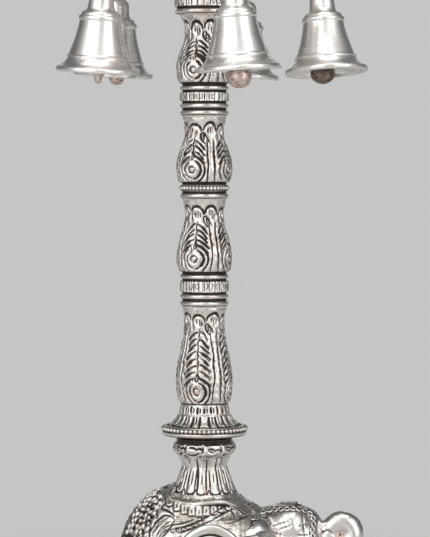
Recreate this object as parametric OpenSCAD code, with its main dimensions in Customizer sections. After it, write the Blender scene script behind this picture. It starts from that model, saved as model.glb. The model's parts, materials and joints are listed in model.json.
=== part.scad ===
// Standing oil lamp. An elephant on an oval plinth carries a turned column of
// stacked vases and bands. An oil dish with five wick lips tops the column, a bell
// hangs under each lip, and one threaded rod ties the whole stack together.
// Millimetres, +Z up, +X the way the elephant faces. The origin lies on the column's
// axis, at the underside of the plinth.

/* [Plinth] */
// Height of the oval plinth
plinth_h = 12; // [10:0.5:20]
// Half width of the plinth at its foot
plinth_r = 34; // [31:0.5:44]
// Length of the straight stretch between the plinth's round ends
plinth_span = 32; // [24:1:60]
// How far the middle of the plinth lies ahead of the column
plinth_x = 6; // [0:0.5:14]
// Height of the upright edge at the plinth's foot
plinth_foot_h = 3; // [2:0.25:5]
// How far the top face steps in from the foot
plinth_step = 5.5; // [3:0.25:7]

/* [Elephant] */
// Height of the saddle seat above the plinth
seat_h = 72; // [64:0.5:88]
// Half the length of the barrel of the body
barrel_l = 27.5; // [25:0.5:34]
// Half the width of the barrel
barrel_w = 22; // [19:0.5:26]
// Half the height of the barrel
barrel_h = 27; // [24:0.5:30]
// Depth of the barrel's centre below the saddle seat
barrel_drop = 20; // [17:0.5:23]
// How far the barrel's centre lies behind the column
barrel_back = 3.5; // [0:0.5:6]
// Radius of a leg
leg_r = 9; // [7:0.5:11]
// Distance from the column forward to the front legs
front_leg_x = 12; // [8:0.5:18]
// Distance from the column back to the hind legs
hind_leg_x = 17; // [12:0.5:20]
// Half the distance between the left and right legs
leg_y = 12.5; // [10:0.5:15]
// Half the width of the head
head_r = 13; // [11:0.5:15]
// Distance from the column forward to the head's centre
head_x = 33; // [28:0.5:37]
// Height of the head's centre above the barrel's centre
head_rise = 3.5; // [0:0.5:8]
// Radius of the trunk where it leaves the face
trunk_r = 8; // [6:0.25:10]
// Radius of the trunk at its curled tip
trunk_tip_r = 3.8; // [3:0.1:5]
// Thickness of an ear
ear_t = 3; // [2:0.25:5]
// Radius of a tusk at its root
tusk_r = 2; // [1.5:0.1:3]
// Radius of the tail at its root
tail_r = 2.2; // [1.5:0.1:3]

/* [Foot screws] */
// Radius of a foot screw's shank
screw_r = 2; // [1.5:0.1:2.5]
// Radius of a foot screw's countersunk head
screw_head_r = 4; // [3.5:0.1:5]
// Height of the cone under a screw's head
screw_cone_h = 2.5; // [1.5:0.1:3.5]
// How far a head lies up inside the plinth's underside
screw_sink = 0.8; // [0.5:0.1:1.5]
// How far a screw reaches up into a foot
screw_bite = 12; // [8:0.5:20]

/* [Tie rod] */
// Radius of the threaded rod
rod_r = 3; // [2:0.1:3.5]
// How far the rod screws down into the elephant's back
rod_bite = 20; // [12:0.5:26]
// How far the rod reaches up into the finial
rod_top_bite = 14; // [8:0.5:16]
// Width across the flats of the lock nut
nut_flats = 10; // [8:0.5:11]
// Height of the lock nut
nut_h = 5; // [3:0.25:6]

/* [Column] */
// Height of the pedestal on the elephant's back
pedestal_h = 23.5; // [20:0.5:30]
// Radius of the pedestal's flange
pedestal_r = 14; // [12.5:0.25:15]
// Radius of the pedestal's waist
pedestal_waist_r = 8.5; // [7.75:0.25:10]
// Radius of the pedestal's collar
pedestal_collar_r = 11.7; // [10.5:0.1:13]
// Height of the beaded skirt
skirt_h = 13; // [11:0.25:18]
// Radius of the skirt's rim
skirt_r = 15.6; // [13:0.1:19]
// Heights of the four vases, lowest first
vase_h = [36, 27, 24.6, 25.3]; // [20:0.1:45]
// Radii of the vases' necks, lowest first
neck_r = [7.3, 7, 7, 7]; // [6:0.1:8]
// Radii of the vases' bellies, lowest first
belly_r = [10.3, 10.1, 10.2, 10.2]; // [9.2:0.1:12]
// Heights of the bellies above each vase's foot
belly_rise = [8.5, 5.5, 6, 5.7]; // [4:0.1:10]
// Depths of the necks below each vase's lip
neck_drop = [6.6, 6.2, 6, 7]; // [4:0.1:9]
// Radius of the vases at their feet
foot_r = 8.6; // [8:0.1:9]
// Radii of the vases at their lips, lowest first
lip_r = [8.6, 8.6, 8.6, 9.8]; // [8:0.1:10.5]
// Radii at the bottom of the grooves between the bands' rings, lowest first
band_r = [8.1, 8.1, 8.1, 10]; // [7.6:0.1:10.4]
// How far the bands' rings stand out of their grooves
ring_proud = 0.8; // [0.4:0.1:1.2]
// Height of one ring of a band
band_ring_h = 1.65; // [1:0.05:2.5]
// Height of a groove beside a ring
groove_h = 0.9; // [0.5:0.05:1.5]
// Heights of the raised strips in the four bands, lowest first
strip_h = [3.8, 2.2, 3, 3]; // [1.5:0.1:5]

/* [Oil dish] */
// Height of the cup that carries the dish
cup_h = 7.6; // [6:0.1:16]
// Radius of the cup under the dish
cup_r = 18; // [14:0.25:22]
// Radius of the dish at its rim
dish_r = 40; // [34:0.5:43]
// Height of the dish
dish_h = 11; // [9:0.25:16]
// Thickness of the dish's wall and floor
dish_wall = 1.8; // [1.2:0.1:2.5]
// Radius of the dish's flat floor
dish_floor_r = 21; // [16:0.5:26]
// Distance from the column to the nose of a wick lip
lip_reach = 57; // [52:0.5:66]
// Half the width of a wick lip where it leaves the dish
lip_half = 10; // [7:0.25:13]
// Radius of a wick lip's nose
lip_nose_r = 3.6; // [3:0.1:5]
// Height of a wick lip's underside above the dish's foot
lip_rise = 4; // [2:0.25:6]
// How far a wick lip's rim lies below the dish's rim
lip_step = 0.6; // [0.3:0.1:1.5]
// Height of the finial
finial_h = 62; // [50:1:80]
// Radius of the finial's bulb
finial_r = 9.5; // [7:0.25:13]

/* [Bells] */
// Radius of the circle on which the bells hang
bell_circle_r = 42; // [41.5:0.1:48]
// Direction of the first bell from +X, in degrees
first_bell_angle = -4.5; // [-36:0.5:36]
// Radius of a bell's mouth
bell_r = 15; // [13:0.1:17]
// Height of the upright band at a bell's mouth
mouth_h = 1.9; // [1.5:0.1:3.5]
// Height of the flare above the mouth band
flare_h = 3.3; // [2.5:0.1:5]
// Radius of a bell above its flare
flare_top_r = 11; // [10:0.1:11.8]
// Height of the bead above the flare
bell_bead_h = 0.9; // [0.8:0.1:2]
// Height of a bell's tapering waist
waist_h = 12.3; // [10:0.1:16]
// Radius of a bell at its shoulder
shoulder_r = 7.4; // [6.7:0.1:8.2]
// Height of the bead round a bell's shoulder
shoulder_h = 2; // [1.4:0.1:3]
// Height of a bell's crown
crown_h = 9.1; // [8:0.1:12]
// Radius of a bell's crown at its foot
crown_foot_r = 5.7; // [5:0.1:6.3]
// Radius of a bell's crown near its top
crown_r = 4.5; // [3.5:0.1:5]
// Thickness of a bell's wall at the waist
bell_wall = 1.3; // [0.9:0.05:1.7]
// Thickness of a bell's wall at the mouth
mouth_wall = 2; // [1.4:0.05:2.5]
// Thickness of the solid crown above a bell's hollow
crown_t = 5.9; // [4.5:0.1:6.5]

/* [Bell hangings] */
// Radius from a hanger ring's centre to its wire's centre
ring_r = 3.2; // [3:0.05:4.5]
// Radius of a hanger ring's wire
ring_wire_r = 0.8; // [0.6:0.05:1]
// Height of the lug's hole below the wick lip
lug_drop = 3.2; // [2.8:0.1:6]
// Width of the lug's plate round its hole
lug_rim = 1.2; // [0.8:0.05:1.4]
// Thickness of a lug
lug_t = 1.6; // [1.2:0.1:2]
// Radius from an eye's centre to its wire's centre
eye_r = 2; // [1.9:0.05:2.4]
// Radius of the wire of the eyes in a bell's crown
eye_wire_r = 0.6; // [0.5:0.05:0.7]
// Length of wire between the upper eye and the crown
eye_neck = 0.7; // [0.5:0.1:3]
// Radius from the centre of a clapper's loop to its wire's centre
loop_r = 1.9; // [1.85:0.05:2.4]
// Radius of a clapper's wire
clapper_wire_r = 0.6; // [0.5:0.05:0.7]
// Radius of a clapper's ball
ball_r = 4.4; // [3.5:0.1:5]
// How far a clapper's ball shows below the bell's mouth
ball_show = 4; // [2:0.1:6]

/* [Clearances] */
// Gap between a wire and the hole or eye that it hangs in
link_gap = 0.3; // [0.2:0.05:0.4]
// Gap round the rod in the pieces that it passes through
rod_gap = 0.25; // [0.15:0.05:0.5]
// Gap round a thread and in a hole that holds one
thread_gap = 0.1; // [0.05:0.05:0.2]
// Gap round a foot screw in the plinth
screw_gap = 0.25; // [0.15:0.05:0.5]
// Gap round the pedestal's flange in the saddle seat
seat_gap = 0.3; // [0.2:0.05:0.6]
// Gap between the lock nut and its pocket
nut_gap = 0.4; // [0.3:0.05:0.8]

/* [Hidden] */
$fn = 64;
eps = 0.01;
bell_count = 5;
silver = [0.80, 0.78, 0.74];
dark_silver = [0.66, 0.63, 0.58];
bright_silver = [0.88, 0.87, 0.85];
steel = [0.55, 0.56, 0.58];
copper = [0.72, 0.53, 0.44];
iron = [0.36, 0.32, 0.29];

// How far each bell rests out of plumb: outwards, then sideways, in degrees
bell_lean = [4, 0, 5, 1, 0];
bell_sway = [-5, 5, 0, -5, 4];
// Rings of each band below and above its raised strip, lowest band first
rings_below = [2, 1, 2, 1];
rings_above = [1, 0, 1, 1];

function total(list, count) = count <= 0 ? 0 : list[count - 1] + total(list, count - 1);
ring_pitch = band_ring_h + groove_h;
band_h = [for (i = [0:len(strip_h) - 1])
    (rings_below[i] + rings_above[i]) * ring_pitch + groove_h + strip_h[i]];

seat_z = plinth_h + seat_h;
pedestal_z = seat_z;
skirt_z = pedestal_z + pedestal_h;
column_z = skirt_z + skirt_h;
function vase_z(i) = column_z + total(vase_h, i) + total(band_h, i);
function band_z(i) = vase_z(i) + vase_h[i];
cup_z = vase_z(len(vase_h));
dish_z = cup_z + cup_h;
finial_z = dish_z + dish_wall;
rod_bore_r = rod_r + rod_gap;

lug_hole_r = ring_wire_r + link_gap;
lug_r = lug_hole_r + lug_rim;
hang_z = dish_z + lip_rise - lug_drop;
eye_drop = eye_r - eye_wire_r - ring_wire_r - link_gap;
crown_drop = eye_drop + eye_r + eye_wire_r + eye_neck;
bell_h = mouth_h + flare_h + bell_bead_h + waist_h + shoulder_h + crown_h;
mouth_drop = crown_drop + bell_h;
hollow_top = bell_h - crown_t;
lower_eye_z = hollow_top - link_gap - eye_r - eye_wire_r;
clapper_pivot = lower_eye_z - (eye_r - eye_wire_r - clapper_wire_r - link_gap);
clapper_l = clapper_pivot - ball_r + ball_show;

// Outlines are lists of [radius, height] points, from the bottom up

// Half-round moulding that stands out of radius r between two heights
function bead(r, proud, low, high, steps = 8) =
    [for (i = [0:steps]) let (a = 180 * i / steps - 90)
        [r + proud * cos(a), (low + high) / 2 + (high - low) / 2 * sin(a)]];

// Quarter of an ellipse from one point to another. It leaves the first point upright
// when swell is true, and level when it is false
function quarter(from, to, swell = true, steps = 8) =
    [for (i = [0:steps]) let (a = 90 * i / steps)
        swell ? [to[0] + (from[0] - to[0]) * cos(a), from[1] + (to[1] - from[1]) * sin(a)]
              : [from[0] + (to[0] - from[0]) * sin(a), to[1] + (from[1] - to[1]) * cos(a)]];

// Smooth run from one point to another, upright at both ends
function ease(from, to, steps = 10) =
    [for (i = [0:steps]) let (t = i / steps)
        [from[0] + (to[0] - from[0]) * (1 - cos(180 * t)) / 2, from[1] + (to[1] - from[1]) * t]];

// Curve from one point to another, drawn towards a third
function bow(from, pull, to, steps = 8) =
    [for (i = [0:steps]) let (t = i / steps) (1 - t) ^ 2 * from + 2 * t * (1 - t) * pull + t ^ 2 * to];

// Ring turned from an outline, with a bore through it
module turning(outline, bore) {
    rotate_extrude()
        polygon(concat([[bore, outline[0][1]]], outline, [[bore, outline[len(outline) - 1][1]]]));
}

// Solid turned from an outline that starts and ends on the axis
module solid_turning(outline) {
    rotate_extrude() polygon(outline);
}

module torus(r, wire_r) {
    rotate_extrude() translate([r, 0]) circle(wire_r, $fn = 32);
}

// Outline run round an oval: turned ends and a straight stretch between them
module oval_run(outline, span) {
    closed = concat([[0, outline[0][1]]], outline, [[0, outline[len(outline) - 1][1]]]);
    for (side = [-1, 1])
        translate([side * span / 2, 0, 0])
            rotate([0, 0, -90 * side])
                rotate_extrude(angle = 180) polygon(closed);
    translate([-span / 2, 0, 0])
        rotate([90, 0, 90])
            linear_extrude(span) {
                polygon(closed);
                mirror([1, 0]) polygon(closed);
            }
}

// Plinth and its screws

foot_places = [for (x = [front_leg_x, -hind_leg_x], side = [-1, 1]) [x, side * leg_y]];

module base_plinth() {
    top_r = plinth_r - plinth_step;
    foot_round = plinth_foot_h / 4;
    cove_r = plinth_r - plinth_step / 4;
    cove_h = (plinth_h - plinth_foot_h) * 0.6;
    top_bead = plinth_step / 5;
    outline = concat(
        [[plinth_r, 0]],
        bead(plinth_r - foot_round, foot_round, plinth_foot_h / 2, plinth_foot_h),
        quarter([cove_r, plinth_foot_h], [top_r, plinth_foot_h + cove_h], false),
        bead(top_r, top_bead, plinth_foot_h + cove_h, plinth_h)
    );
    color(silver)
        difference() {
            translate([plinth_x, 0, 0]) oval_run(outline, plinth_span);
            for (place = foot_places)
                translate([place[0], place[1], 0]) {
                    hole_r = screw_r + screw_gap;
                    sink_r = screw_head_r + screw_gap;
                    translate([0, 0, -eps]) cylinder(r = hole_r, h = plinth_h + 2 * eps);
                    translate([0, 0, -eps]) cylinder(r = sink_r, h = screw_sink + eps);
                    translate([0, 0, screw_sink - eps])
                        cylinder(r1 = sink_r, r2 = hole_r, h = screw_cone_h + eps);
                }
        }
}

module foot_screws() {
    socket_r = screw_r * 0.7;
    socket_h = screw_cone_h * 0.6;
    color(steel)
        for (place = foot_places)
            translate([place[0], place[1], screw_sink])
                difference() {
                    union() {
                        cylinder(r1 = screw_head_r, r2 = screw_r, h = screw_cone_h);
                        cylinder(r = screw_r, h = plinth_h - screw_sink + screw_bite);
                    }
                    translate([0, 0, -eps]) cylinder(r = socket_r, h = socket_h + eps, $fn = 6);
                }
}

// Elephant, one casting

barrel_z = seat_z - barrel_drop;
head_z = barrel_z + head_rise;

module ball(place, r, facets = 24) {
    translate(place) sphere(r, $fn = facets);
}

// Tube through a list of places, each with its own radius
module limb(places, radii) {
    for (i = [0:len(places) - 2])
        hull() {
            ball(places[i], radii[i]);
            ball(places[i + 1], radii[i + 1]);
        }
}

// Body with the neck that runs from between the shoulders to the head
module barrel() {
    translate([-barrel_back, 0, barrel_z])
        scale([barrel_l, barrel_w, barrel_h]) sphere(1, $fn = 48);
    shoulder = [front_leg_x - barrel_w * 0.1, 0, barrel_z];
    nape = [head_x - head_r * 0.4, 0, head_z];
    hull() {
        ball(shoulder, barrel_w * 0.8, 32);
        ball(nape, head_r * 0.92, 32);
    }
}

// A leg narrows from its sole to the knee and swells to the thigh inside the barrel
module leg(place) {
    sole_r = leg_r * 1.05;
    sole_h = leg_r / 3;
    knee_r = leg_r * 0.95;
    thigh_r = leg_r * 1.3;
    thigh_z = barrel_z - barrel_h / 4;
    knee = [place[0], place[1], (plinth_h + barrel_z - barrel_h / 2) / 2];
    thigh = [place[0], place[1] * 0.75, thigh_z];
    hull() {
        translate([place[0], place[1], plinth_h]) cylinder(r = sole_r, h = sole_h, $fn = 32);
        ball(knee, knee_r);
    }
    hull() {
        ball(knee, knee_r);
        ball(thigh, thigh_r);
    }
}

// Skull with two domes on the forehead
module head() {
    skull = head_r * [0.94, 1, 1.08];
    dome_r = head_r * 0.6;
    dome_place = head_r * [-0.12, 0.38, 0.52];
    translate([head_x, 0, head_z]) {
        scale(skull) sphere(1, $fn = 40);
        for (side = [-1, 1]) ball([dome_place[0], side * dome_place[1], dome_place[2]], dome_r);
    }
}

// The trunk drops from the face, swings forward and up, and curls back at its tip
module trunk() {
    root = [head_x, 0, head_z] + head_r * [0.5, 0, -0.3];
    bend = [head_x, 0, head_z] + head_r * [1.15, 0, -1.2];
    rise = bend + trunk_r * [0.75, 0, 0.45];
    curl = [head_x + head_r * 1.25, 0, head_z + trunk_tip_r * 0.6];
    curl_r = trunk_tip_r * 1.15;
    coil = [for (a = [-40:40:200]) curl + curl_r * [cos(a), 0, sin(a)]];
    route = concat([root, bend, rise], coil);
    last = len(route) - 1;
    limb(route, [for (i = [0:last]) trunk_r + (trunk_tip_r - trunk_r) * sqrt(i / last)]);
}

// An ear leaves the side of the head and fans out past the shoulder
module ear(side) {
    root_x = head_x - head_r * 0.75;
    root_y = side * head_r * 0.8;
    fan_x = head_x - head_r * 2.1;
    fan_y = side * (barrel_w + 1.5 * ear_t);
    fan_z = head_z - head_r * 0.3;
    hull() {
        for (lift = [0.3, -0.7]) ball([root_x, root_y, head_z + head_r * lift], ear_t / 2, 16);
        for (a = [45:30:285])
            ball([fan_x + head_r * cos(a), fan_y, fan_z + head_r * 1.15 * sin(a)], ear_t / 2, 16);
    }
}

module tusk(side) {
    root = [head_x, 0, head_z] + head_r * [0.55, side * 0.55, -0.75];
    middle = root + head_r * [0.45, side * 0.12, -0.2];
    tip = root + head_r * [0.9, side * 0.2, 0];
    limb([root, middle, tip], tusk_r * [1, 0.8, 0.4]);
}

// The tail hangs from the rump and ends in a tuft
module tail() {
    root = [-barrel_back - barrel_l * 0.93, 0, barrel_z + barrel_h * 0.15];
    limb([root, root + barrel_h * [-0.11, 0, -0.33], root + barrel_h * [-0.05, 0, -0.8],
          root + barrel_h * [-0.04, 0, -1.1]],
         tail_r * [1, 0.8, 0.7, 1]);
}

module elephant() {
    color(dark_silver)
        difference() {
            union() {
                barrel();
                for (place = foot_places) leg(place);
                head();
                trunk();
                for (side = [-1, 1]) {
                    ear(side);
                    tusk(side);
                }
                tail();
                translate([0, 0, barrel_z])
                    cylinder(r = pedestal_r + seat_gap, h = barrel_drop);
            }
            translate([0, 0, seat_z])
                cylinder(r = pedestal_r + seat_gap, h = barrel_h);
            translate([0, 0, seat_z - rod_bite - thread_gap])
                cylinder(r = rod_r + thread_gap, h = rod_bite + barrel_h, $fn = 32);
            for (place = foot_places)
                translate([place[0], place[1], plinth_h - eps])
                    cylinder(r = screw_r + thread_gap, h = screw_bite + thread_gap + eps, $fn = 32);
        }
}

// Column

module saddle_pedestal() {
    flange_h = 2;
    collar_h = 6.2;
    cup_under_h = 4.8;
    roll = 1.2;
    flange_r = pedestal_r - flange_h / 2;
    collar_r = pedestal_collar_r - roll;
    collar_z = pedestal_h - collar_h;
    waist_z = collar_z - cup_under_h;
    outline = concat(
        bead(flange_r, flange_h / 2, 0, flange_h),
        bow([flange_r, flange_h], [(pedestal_r + 2 * pedestal_waist_r) / 3, waist_z / 2],
            [pedestal_waist_r, waist_z], 10),
        quarter([pedestal_waist_r, waist_z + roll], [collar_r - roll / 4, collar_z - roll / 4]),
        bead(collar_r, roll, collar_z, pedestal_h - roll),
        [[collar_r - roll / 2, pedestal_h]]
    );
    pocket_r = nut_flats / sqrt(3) + nut_gap;
    color(silver)
        translate([0, 0, pedestal_z])
            difference() {
                turning(outline, rod_bore_r);
                translate([0, 0, -eps]) cylinder(r = pocket_r, h = nut_h + nut_gap + eps);
            }
}

module rod_nut() {
    color(steel)
        translate([0, 0, pedestal_z])
            difference() {
                cylinder(r = nut_flats / sqrt(3), h = nut_h, $fn = 6);
                translate([0, 0, -eps]) cylinder(r = rod_r + thread_gap, h = nut_h + 2 * eps);
            }
}

module tie_rod() {
    chamfer = 0.6;
    length = finial_z + rod_top_bite - seat_z + rod_bite;
    color(steel)
        translate([0, 0, seat_z - rod_bite])
            solid_turning([[0, 0], [rod_r - chamfer, 0], [rod_r, chamfer], [rod_r, length - chamfer],
                           [rod_r - chamfer, length], [0, length]]);
}

module column_skirt() {
    hub_h = 2.3;
    rim_h = 2.4;
    flute_h = 4.2;
    step = 0.6;
    hub_r = foot_r - step;
    throat_r = foot_r + step;
    rim_r = skirt_r - rim_h / 2;
    rim_top = hub_h + rim_h;
    flute_z = skirt_h - flute_h;
    outline = concat(
        [[hub_r, 0], [hub_r, hub_h]],
        bead(rim_r, rim_h / 2, hub_h, rim_top),
        bow([rim_r, rim_top], [throat_r + 2 * step, rim_top + 2 * step], [throat_r + step, flute_z]),
        ease([throat_r, flute_z + step / 3], [foot_r, skirt_h], 4)
    );
    color(silver) translate([0, 0, skirt_z]) turning(outline, rod_bore_r);
}

module vase(i) {
    belly = [belly_r[i], belly_rise[i]];
    neck = [neck_r[i], vase_h[i] - neck_drop[i]];
    below_neck = ease(belly, neck);
    above_neck = quarter(neck, [lip_r[i], vase_h[i]], true);
    outline = concat(
        quarter([foot_r, 0], belly, false),
        [for (k = [1:len(below_neck) - 1]) below_neck[k]],
        [for (k = [1:len(above_neck) - 1]) above_neck[k]]
    );
    color(silver) translate([0, 0, vase_z(i)]) turning(outline, rod_bore_r);
}

// Half-round rings below and above a raised strip, with a groove over each
module band(i) {
    strip_z = rings_below[i] * ring_pitch;
    strip_top = strip_z + strip_h[i];
    strip_r = band_r[i] + ring_proud;
    ring_lows = concat([for (k = [0:1:rings_below[i] - 1]) k * ring_pitch],
                       [for (k = [0:1:rings_above[i] - 1]) strip_top + groove_h + k * ring_pitch]);
    function rings(lows) =
        [for (low = lows, point = bead(band_r[i], ring_proud, low, low + band_ring_h)) point];
    outline = concat(
        rings([for (low = ring_lows) if (low < strip_z) low]),
        [[band_r[i], strip_z], [strip_r, strip_z], [strip_r, strip_top], [band_r[i], strip_top]],
        rings([for (low = ring_lows) if (low > strip_z) low]),
        [[band_r[i], band_h[i]]]
    );
    color(silver) translate([0, 0, band_z(i)]) turning(outline, rod_bore_r);
}

// Dish and finial

module dish_cup() {
    stem_r = band_r[len(band_r) - 1];
    rim_h = 1.5;
    outline = concat(
        [[stem_r, 0]],
        bow([stem_r, rim_h / 2], [stem_r, cup_h - rim_h], [cup_r, cup_h - rim_h], 10),
        [[cup_r, cup_h]]
    );
    color(silver) translate([0, 0, cup_z]) turning(outline, rod_bore_r);
}

function bell_angle(i) = first_bell_angle + 360 / bell_count * i;

// Plan of a wick lip, drawn in by a wall's thickness for its trough. Its sides run from
// the round nose to lip_half at the dish's rim, and on to the root inside the dish
module lip_plan(inset = 0) {
    root = dish_floor_r;
    nose = lip_reach - lip_nose_r;
    side = [lip_half, nose - dish_r];
    taper = acos(lip_nose_r / norm(side)) - atan2(side[1], side[0]);
    nose_r = lip_nose_r - inset;
    root_half = (nose_r + (nose - root) * sin(taper)) / cos(taper);
    steps = 10;
    arc = [for (i = [0:steps]) let (a = (90 - taper) * (2 * i / steps - 1))
        [nose + nose_r * cos(a), nose_r * sin(a)]];
    polygon(concat([[root, -root_half]], arc, [[root, root_half]]));
}

module oil_dish() {
    inner_r = dish_r - dish_wall;
    floor_edge = 0.4;
    color(silver)
        translate([0, 0, dish_z])
            difference() {
                union() {
                    solid_turning(concat([[0, 0], [dish_floor_r, 0]],
                        quarter([dish_floor_r + dish_wall, floor_edge], [dish_r, dish_h - dish_wall], false),
                        [[dish_r, dish_h], [0, dish_h]]));
                    for (i = [0:bell_count - 1])
                        rotate([0, 0, bell_angle(i)])
                            translate([0, 0, lip_rise])
                                linear_extrude(dish_h - lip_rise - lip_step) lip_plan();
                }
                solid_turning(concat([[0, dish_wall], [dish_floor_r - dish_wall, dish_wall]],
                    quarter([dish_floor_r, dish_wall + floor_edge], [inner_r, dish_h - dish_wall], false),
                    [[inner_r, 2 * dish_h], [0, 2 * dish_h]]));
                for (i = [0:bell_count - 1])
                    rotate([0, 0, bell_angle(i)])
                        translate([0, 0, lip_rise + dish_wall]) linear_extrude(dish_h) lip_plan(dish_wall);
                translate([0, 0, -eps]) cylinder(r = rod_bore_r, h = dish_wall + 2 * eps);
            }
}

module finial() {
    flange_h = 3;
    cove_h = 6;
    stem_h = 16;
    ring_h = 2;
    roll = 1;
    tip_r = 0.8;
    stem_r = rod_r + 2;
    neck_r = stem_r - roll;
    bud_r = finial_r * 0.55;
    flange_r = finial_r - flange_h / 2;
    belly_z = stem_h + finial_r * 0.7;
    bulb_top = stem_h + finial_r * 1.7;
    bud_z = bulb_top + ring_h + roll;
    outline = concat(
        [[0, 0]],
        bead(flange_r, flange_h / 2, 0, flange_h),
        quarter([flange_r, flange_h], [stem_r, flange_h + cove_h], false),
        bead(stem_r, roll, stem_h - ring_h - roll / 2, stem_h - roll / 2),
        quarter([stem_r, stem_h], [finial_r, belly_z], false),
        ease([finial_r, belly_z + roll], [neck_r, bulb_top]),
        bead(neck_r, roll, bulb_top + roll / 2, bulb_top + ring_h + roll / 2),
        quarter([neck_r, bud_z], [bud_r, bud_z + bud_r], false),
        ease([bud_r, bud_z + bud_r + roll / 2], [tip_r, finial_h - tip_r]),
        [[0, finial_h]]
    );
    color(silver)
        translate([0, 0, finial_z])
            difference() {
                solid_turning(outline);
                translate([0, 0, -eps]) cylinder(r = rod_r + thread_gap, h = rod_top_bite + thread_gap + eps);
            }
}

// Bells. In each frame X points away from the column and Y runs along the bell circle

// Frame at the hole of a bell's lug
module at_lug(i) {
    rotate([0, 0, bell_angle(i)]) translate([bell_circle_r, 0, hang_z]) children();
}

// Frame of a hanger ring, leaning about the lug's hole
module at_ring(i) {
    at_lug(i) rotate([0, -bell_lean[i], 0]) children();
}

// Frame of a bell, swayed round the ring, at the middle of the bell's mouth
module at_bell(i) {
    at_ring(i)
        translate([0, 0, -ring_r])
            rotate([bell_sway[i], 0, 0])
                translate([0, 0, -ring_r - mouth_drop]) children();
}

module bell_lugs() {
    color(silver)
        for (i = [0:bell_count - 1])
            at_lug(i)
                rotate([90, 0, 0])
                    translate([0, 0, -lug_t / 2])
                        linear_extrude(lug_t)
                            difference() {
                                union() {
                                    circle(lug_r);
                                    translate([-lug_r, 0]) square([2 * lug_r, lug_drop]);
                                }
                                circle(lug_hole_r);
                            }
}

module hanger_ring(i) {
    color(dark_silver) at_ring(i) translate([0, 0, -ring_r]) rotate([0, 90, 0]) torus(ring_r, ring_wire_r);
}

module bell(i) {
    flare_z = mouth_h + flare_h;
    waist_z = flare_z + bell_bead_h;
    shoulder_z = waist_z + waist_h;
    crown_z = shoulder_z + shoulder_h;
    roll = 0.4;
    ledge_h = 1.5;
    cap_h = 3.4;
    waist_foot_r = flare_top_r - roll / 2;
    waist_steps = 6;
    outside = concat(
        [[bell_r - roll, 0], [bell_r, roll], [bell_r, mouth_h - roll], [bell_r - roll, mouth_h]],
        bow([bell_r - 2 * roll, mouth_h], [flare_top_r + 3 * roll, mouth_h + 2 * roll],
            [flare_top_r, flare_z]),
        bead(flare_top_r, roll, flare_z + roll / 4, waist_z - roll / 4, 6),
        [for (k = [0:waist_steps]) let (t = k / waist_steps)
            [shoulder_r + (waist_foot_r - shoulder_r) * (1 - t) ^ 1.3, waist_z + waist_h * t]],
        bead(shoulder_r, roll, shoulder_z + roll / 4, crown_z - roll / 4),
        quarter([shoulder_r - roll, crown_z], [crown_foot_r, crown_z + ledge_h], true, 5),
        quarter([crown_foot_r - roll / 2, crown_z + ledge_h + roll / 2], [crown_r, bell_h - cap_h], false, 5),
        quarter([crown_r, bell_h - cap_h + roll / 2], [eye_wire_r + thread_gap, bell_h], true, 6)
    );
    inner_waist_r = shoulder_r - bell_wall;
    inner_flare_r = flare_top_r - bell_wall;
    mouth_in = bell_r - mouth_wall;
    hollow = concat(
        [[0, -eps], [mouth_in, -eps], [mouth_in, mouth_h - roll]],
        quarter([mouth_in - roll, mouth_h], [inner_flare_r, flare_z + roll], false),
        [[inner_waist_r, shoulder_z]],
        quarter([inner_waist_r, shoulder_z + roll], [0, hollow_top], true)
    );
    color(bright_silver)
        at_bell(i)
            difference() {
                solid_turning(concat([[0, 0]], outside, [[0, bell_h]]));
                solid_turning(hollow);
                translate([0, 0, lower_eye_z]) cylinder(r = eye_wire_r + thread_gap, h = bell_h);
            }
}

// Wire through the crown, with an eye above it for the ring and one below for the clapper
module bell_wire(i) {
    upper_eye_z = bell_h + eye_neck + eye_wire_r + eye_r;
    color(copper)
        at_bell(i) {
            translate([0, 0, upper_eye_z]) rotate([90, 0, 0]) torus(eye_r, eye_wire_r);
            translate([0, 0, lower_eye_z]) rotate([90, 0, 0]) torus(eye_r, eye_wire_r);
            translate([0, 0, lower_eye_z + eye_r])
                cylinder(r = eye_wire_r, h = upper_eye_z - lower_eye_z - 2 * eye_r);
        }
}

// Hangs from the lower eye, turned back by the bell's outward lean
module clapper(i) {
    color(iron)
        at_bell(i)
            translate([0, 0, clapper_pivot])
                rotate([0, bell_lean[i], 0]) {
                    translate([0, 0, -loop_r]) rotate([0, 90, 0]) torus(loop_r, clapper_wire_r);
                    translate([0, 0, -clapper_l])
                        cylinder(r = clapper_wire_r, h = clapper_l - 2 * loop_r);
                    translate([0, 0, -clapper_l]) sphere(ball_r);
                }
}

base_plinth();
foot_screws();
elephant();
saddle_pedestal();
rod_nut();
tie_rod();
column_skirt();
for (i = [1:len(vase_h)]) vase(i - 1);
for (i = [1:len(strip_h)]) band(i - 1);
dish_cup();
oil_dish();
bell_lugs();
finial();
for (i = [1:bell_count]) hanger_ring(i - 1);
for (i = [1:bell_count]) bell(i - 1);
for (i = [1:bell_count]) bell_wire(i - 1);
for (i = [1:bell_count]) clapper(i - 1);
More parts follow.
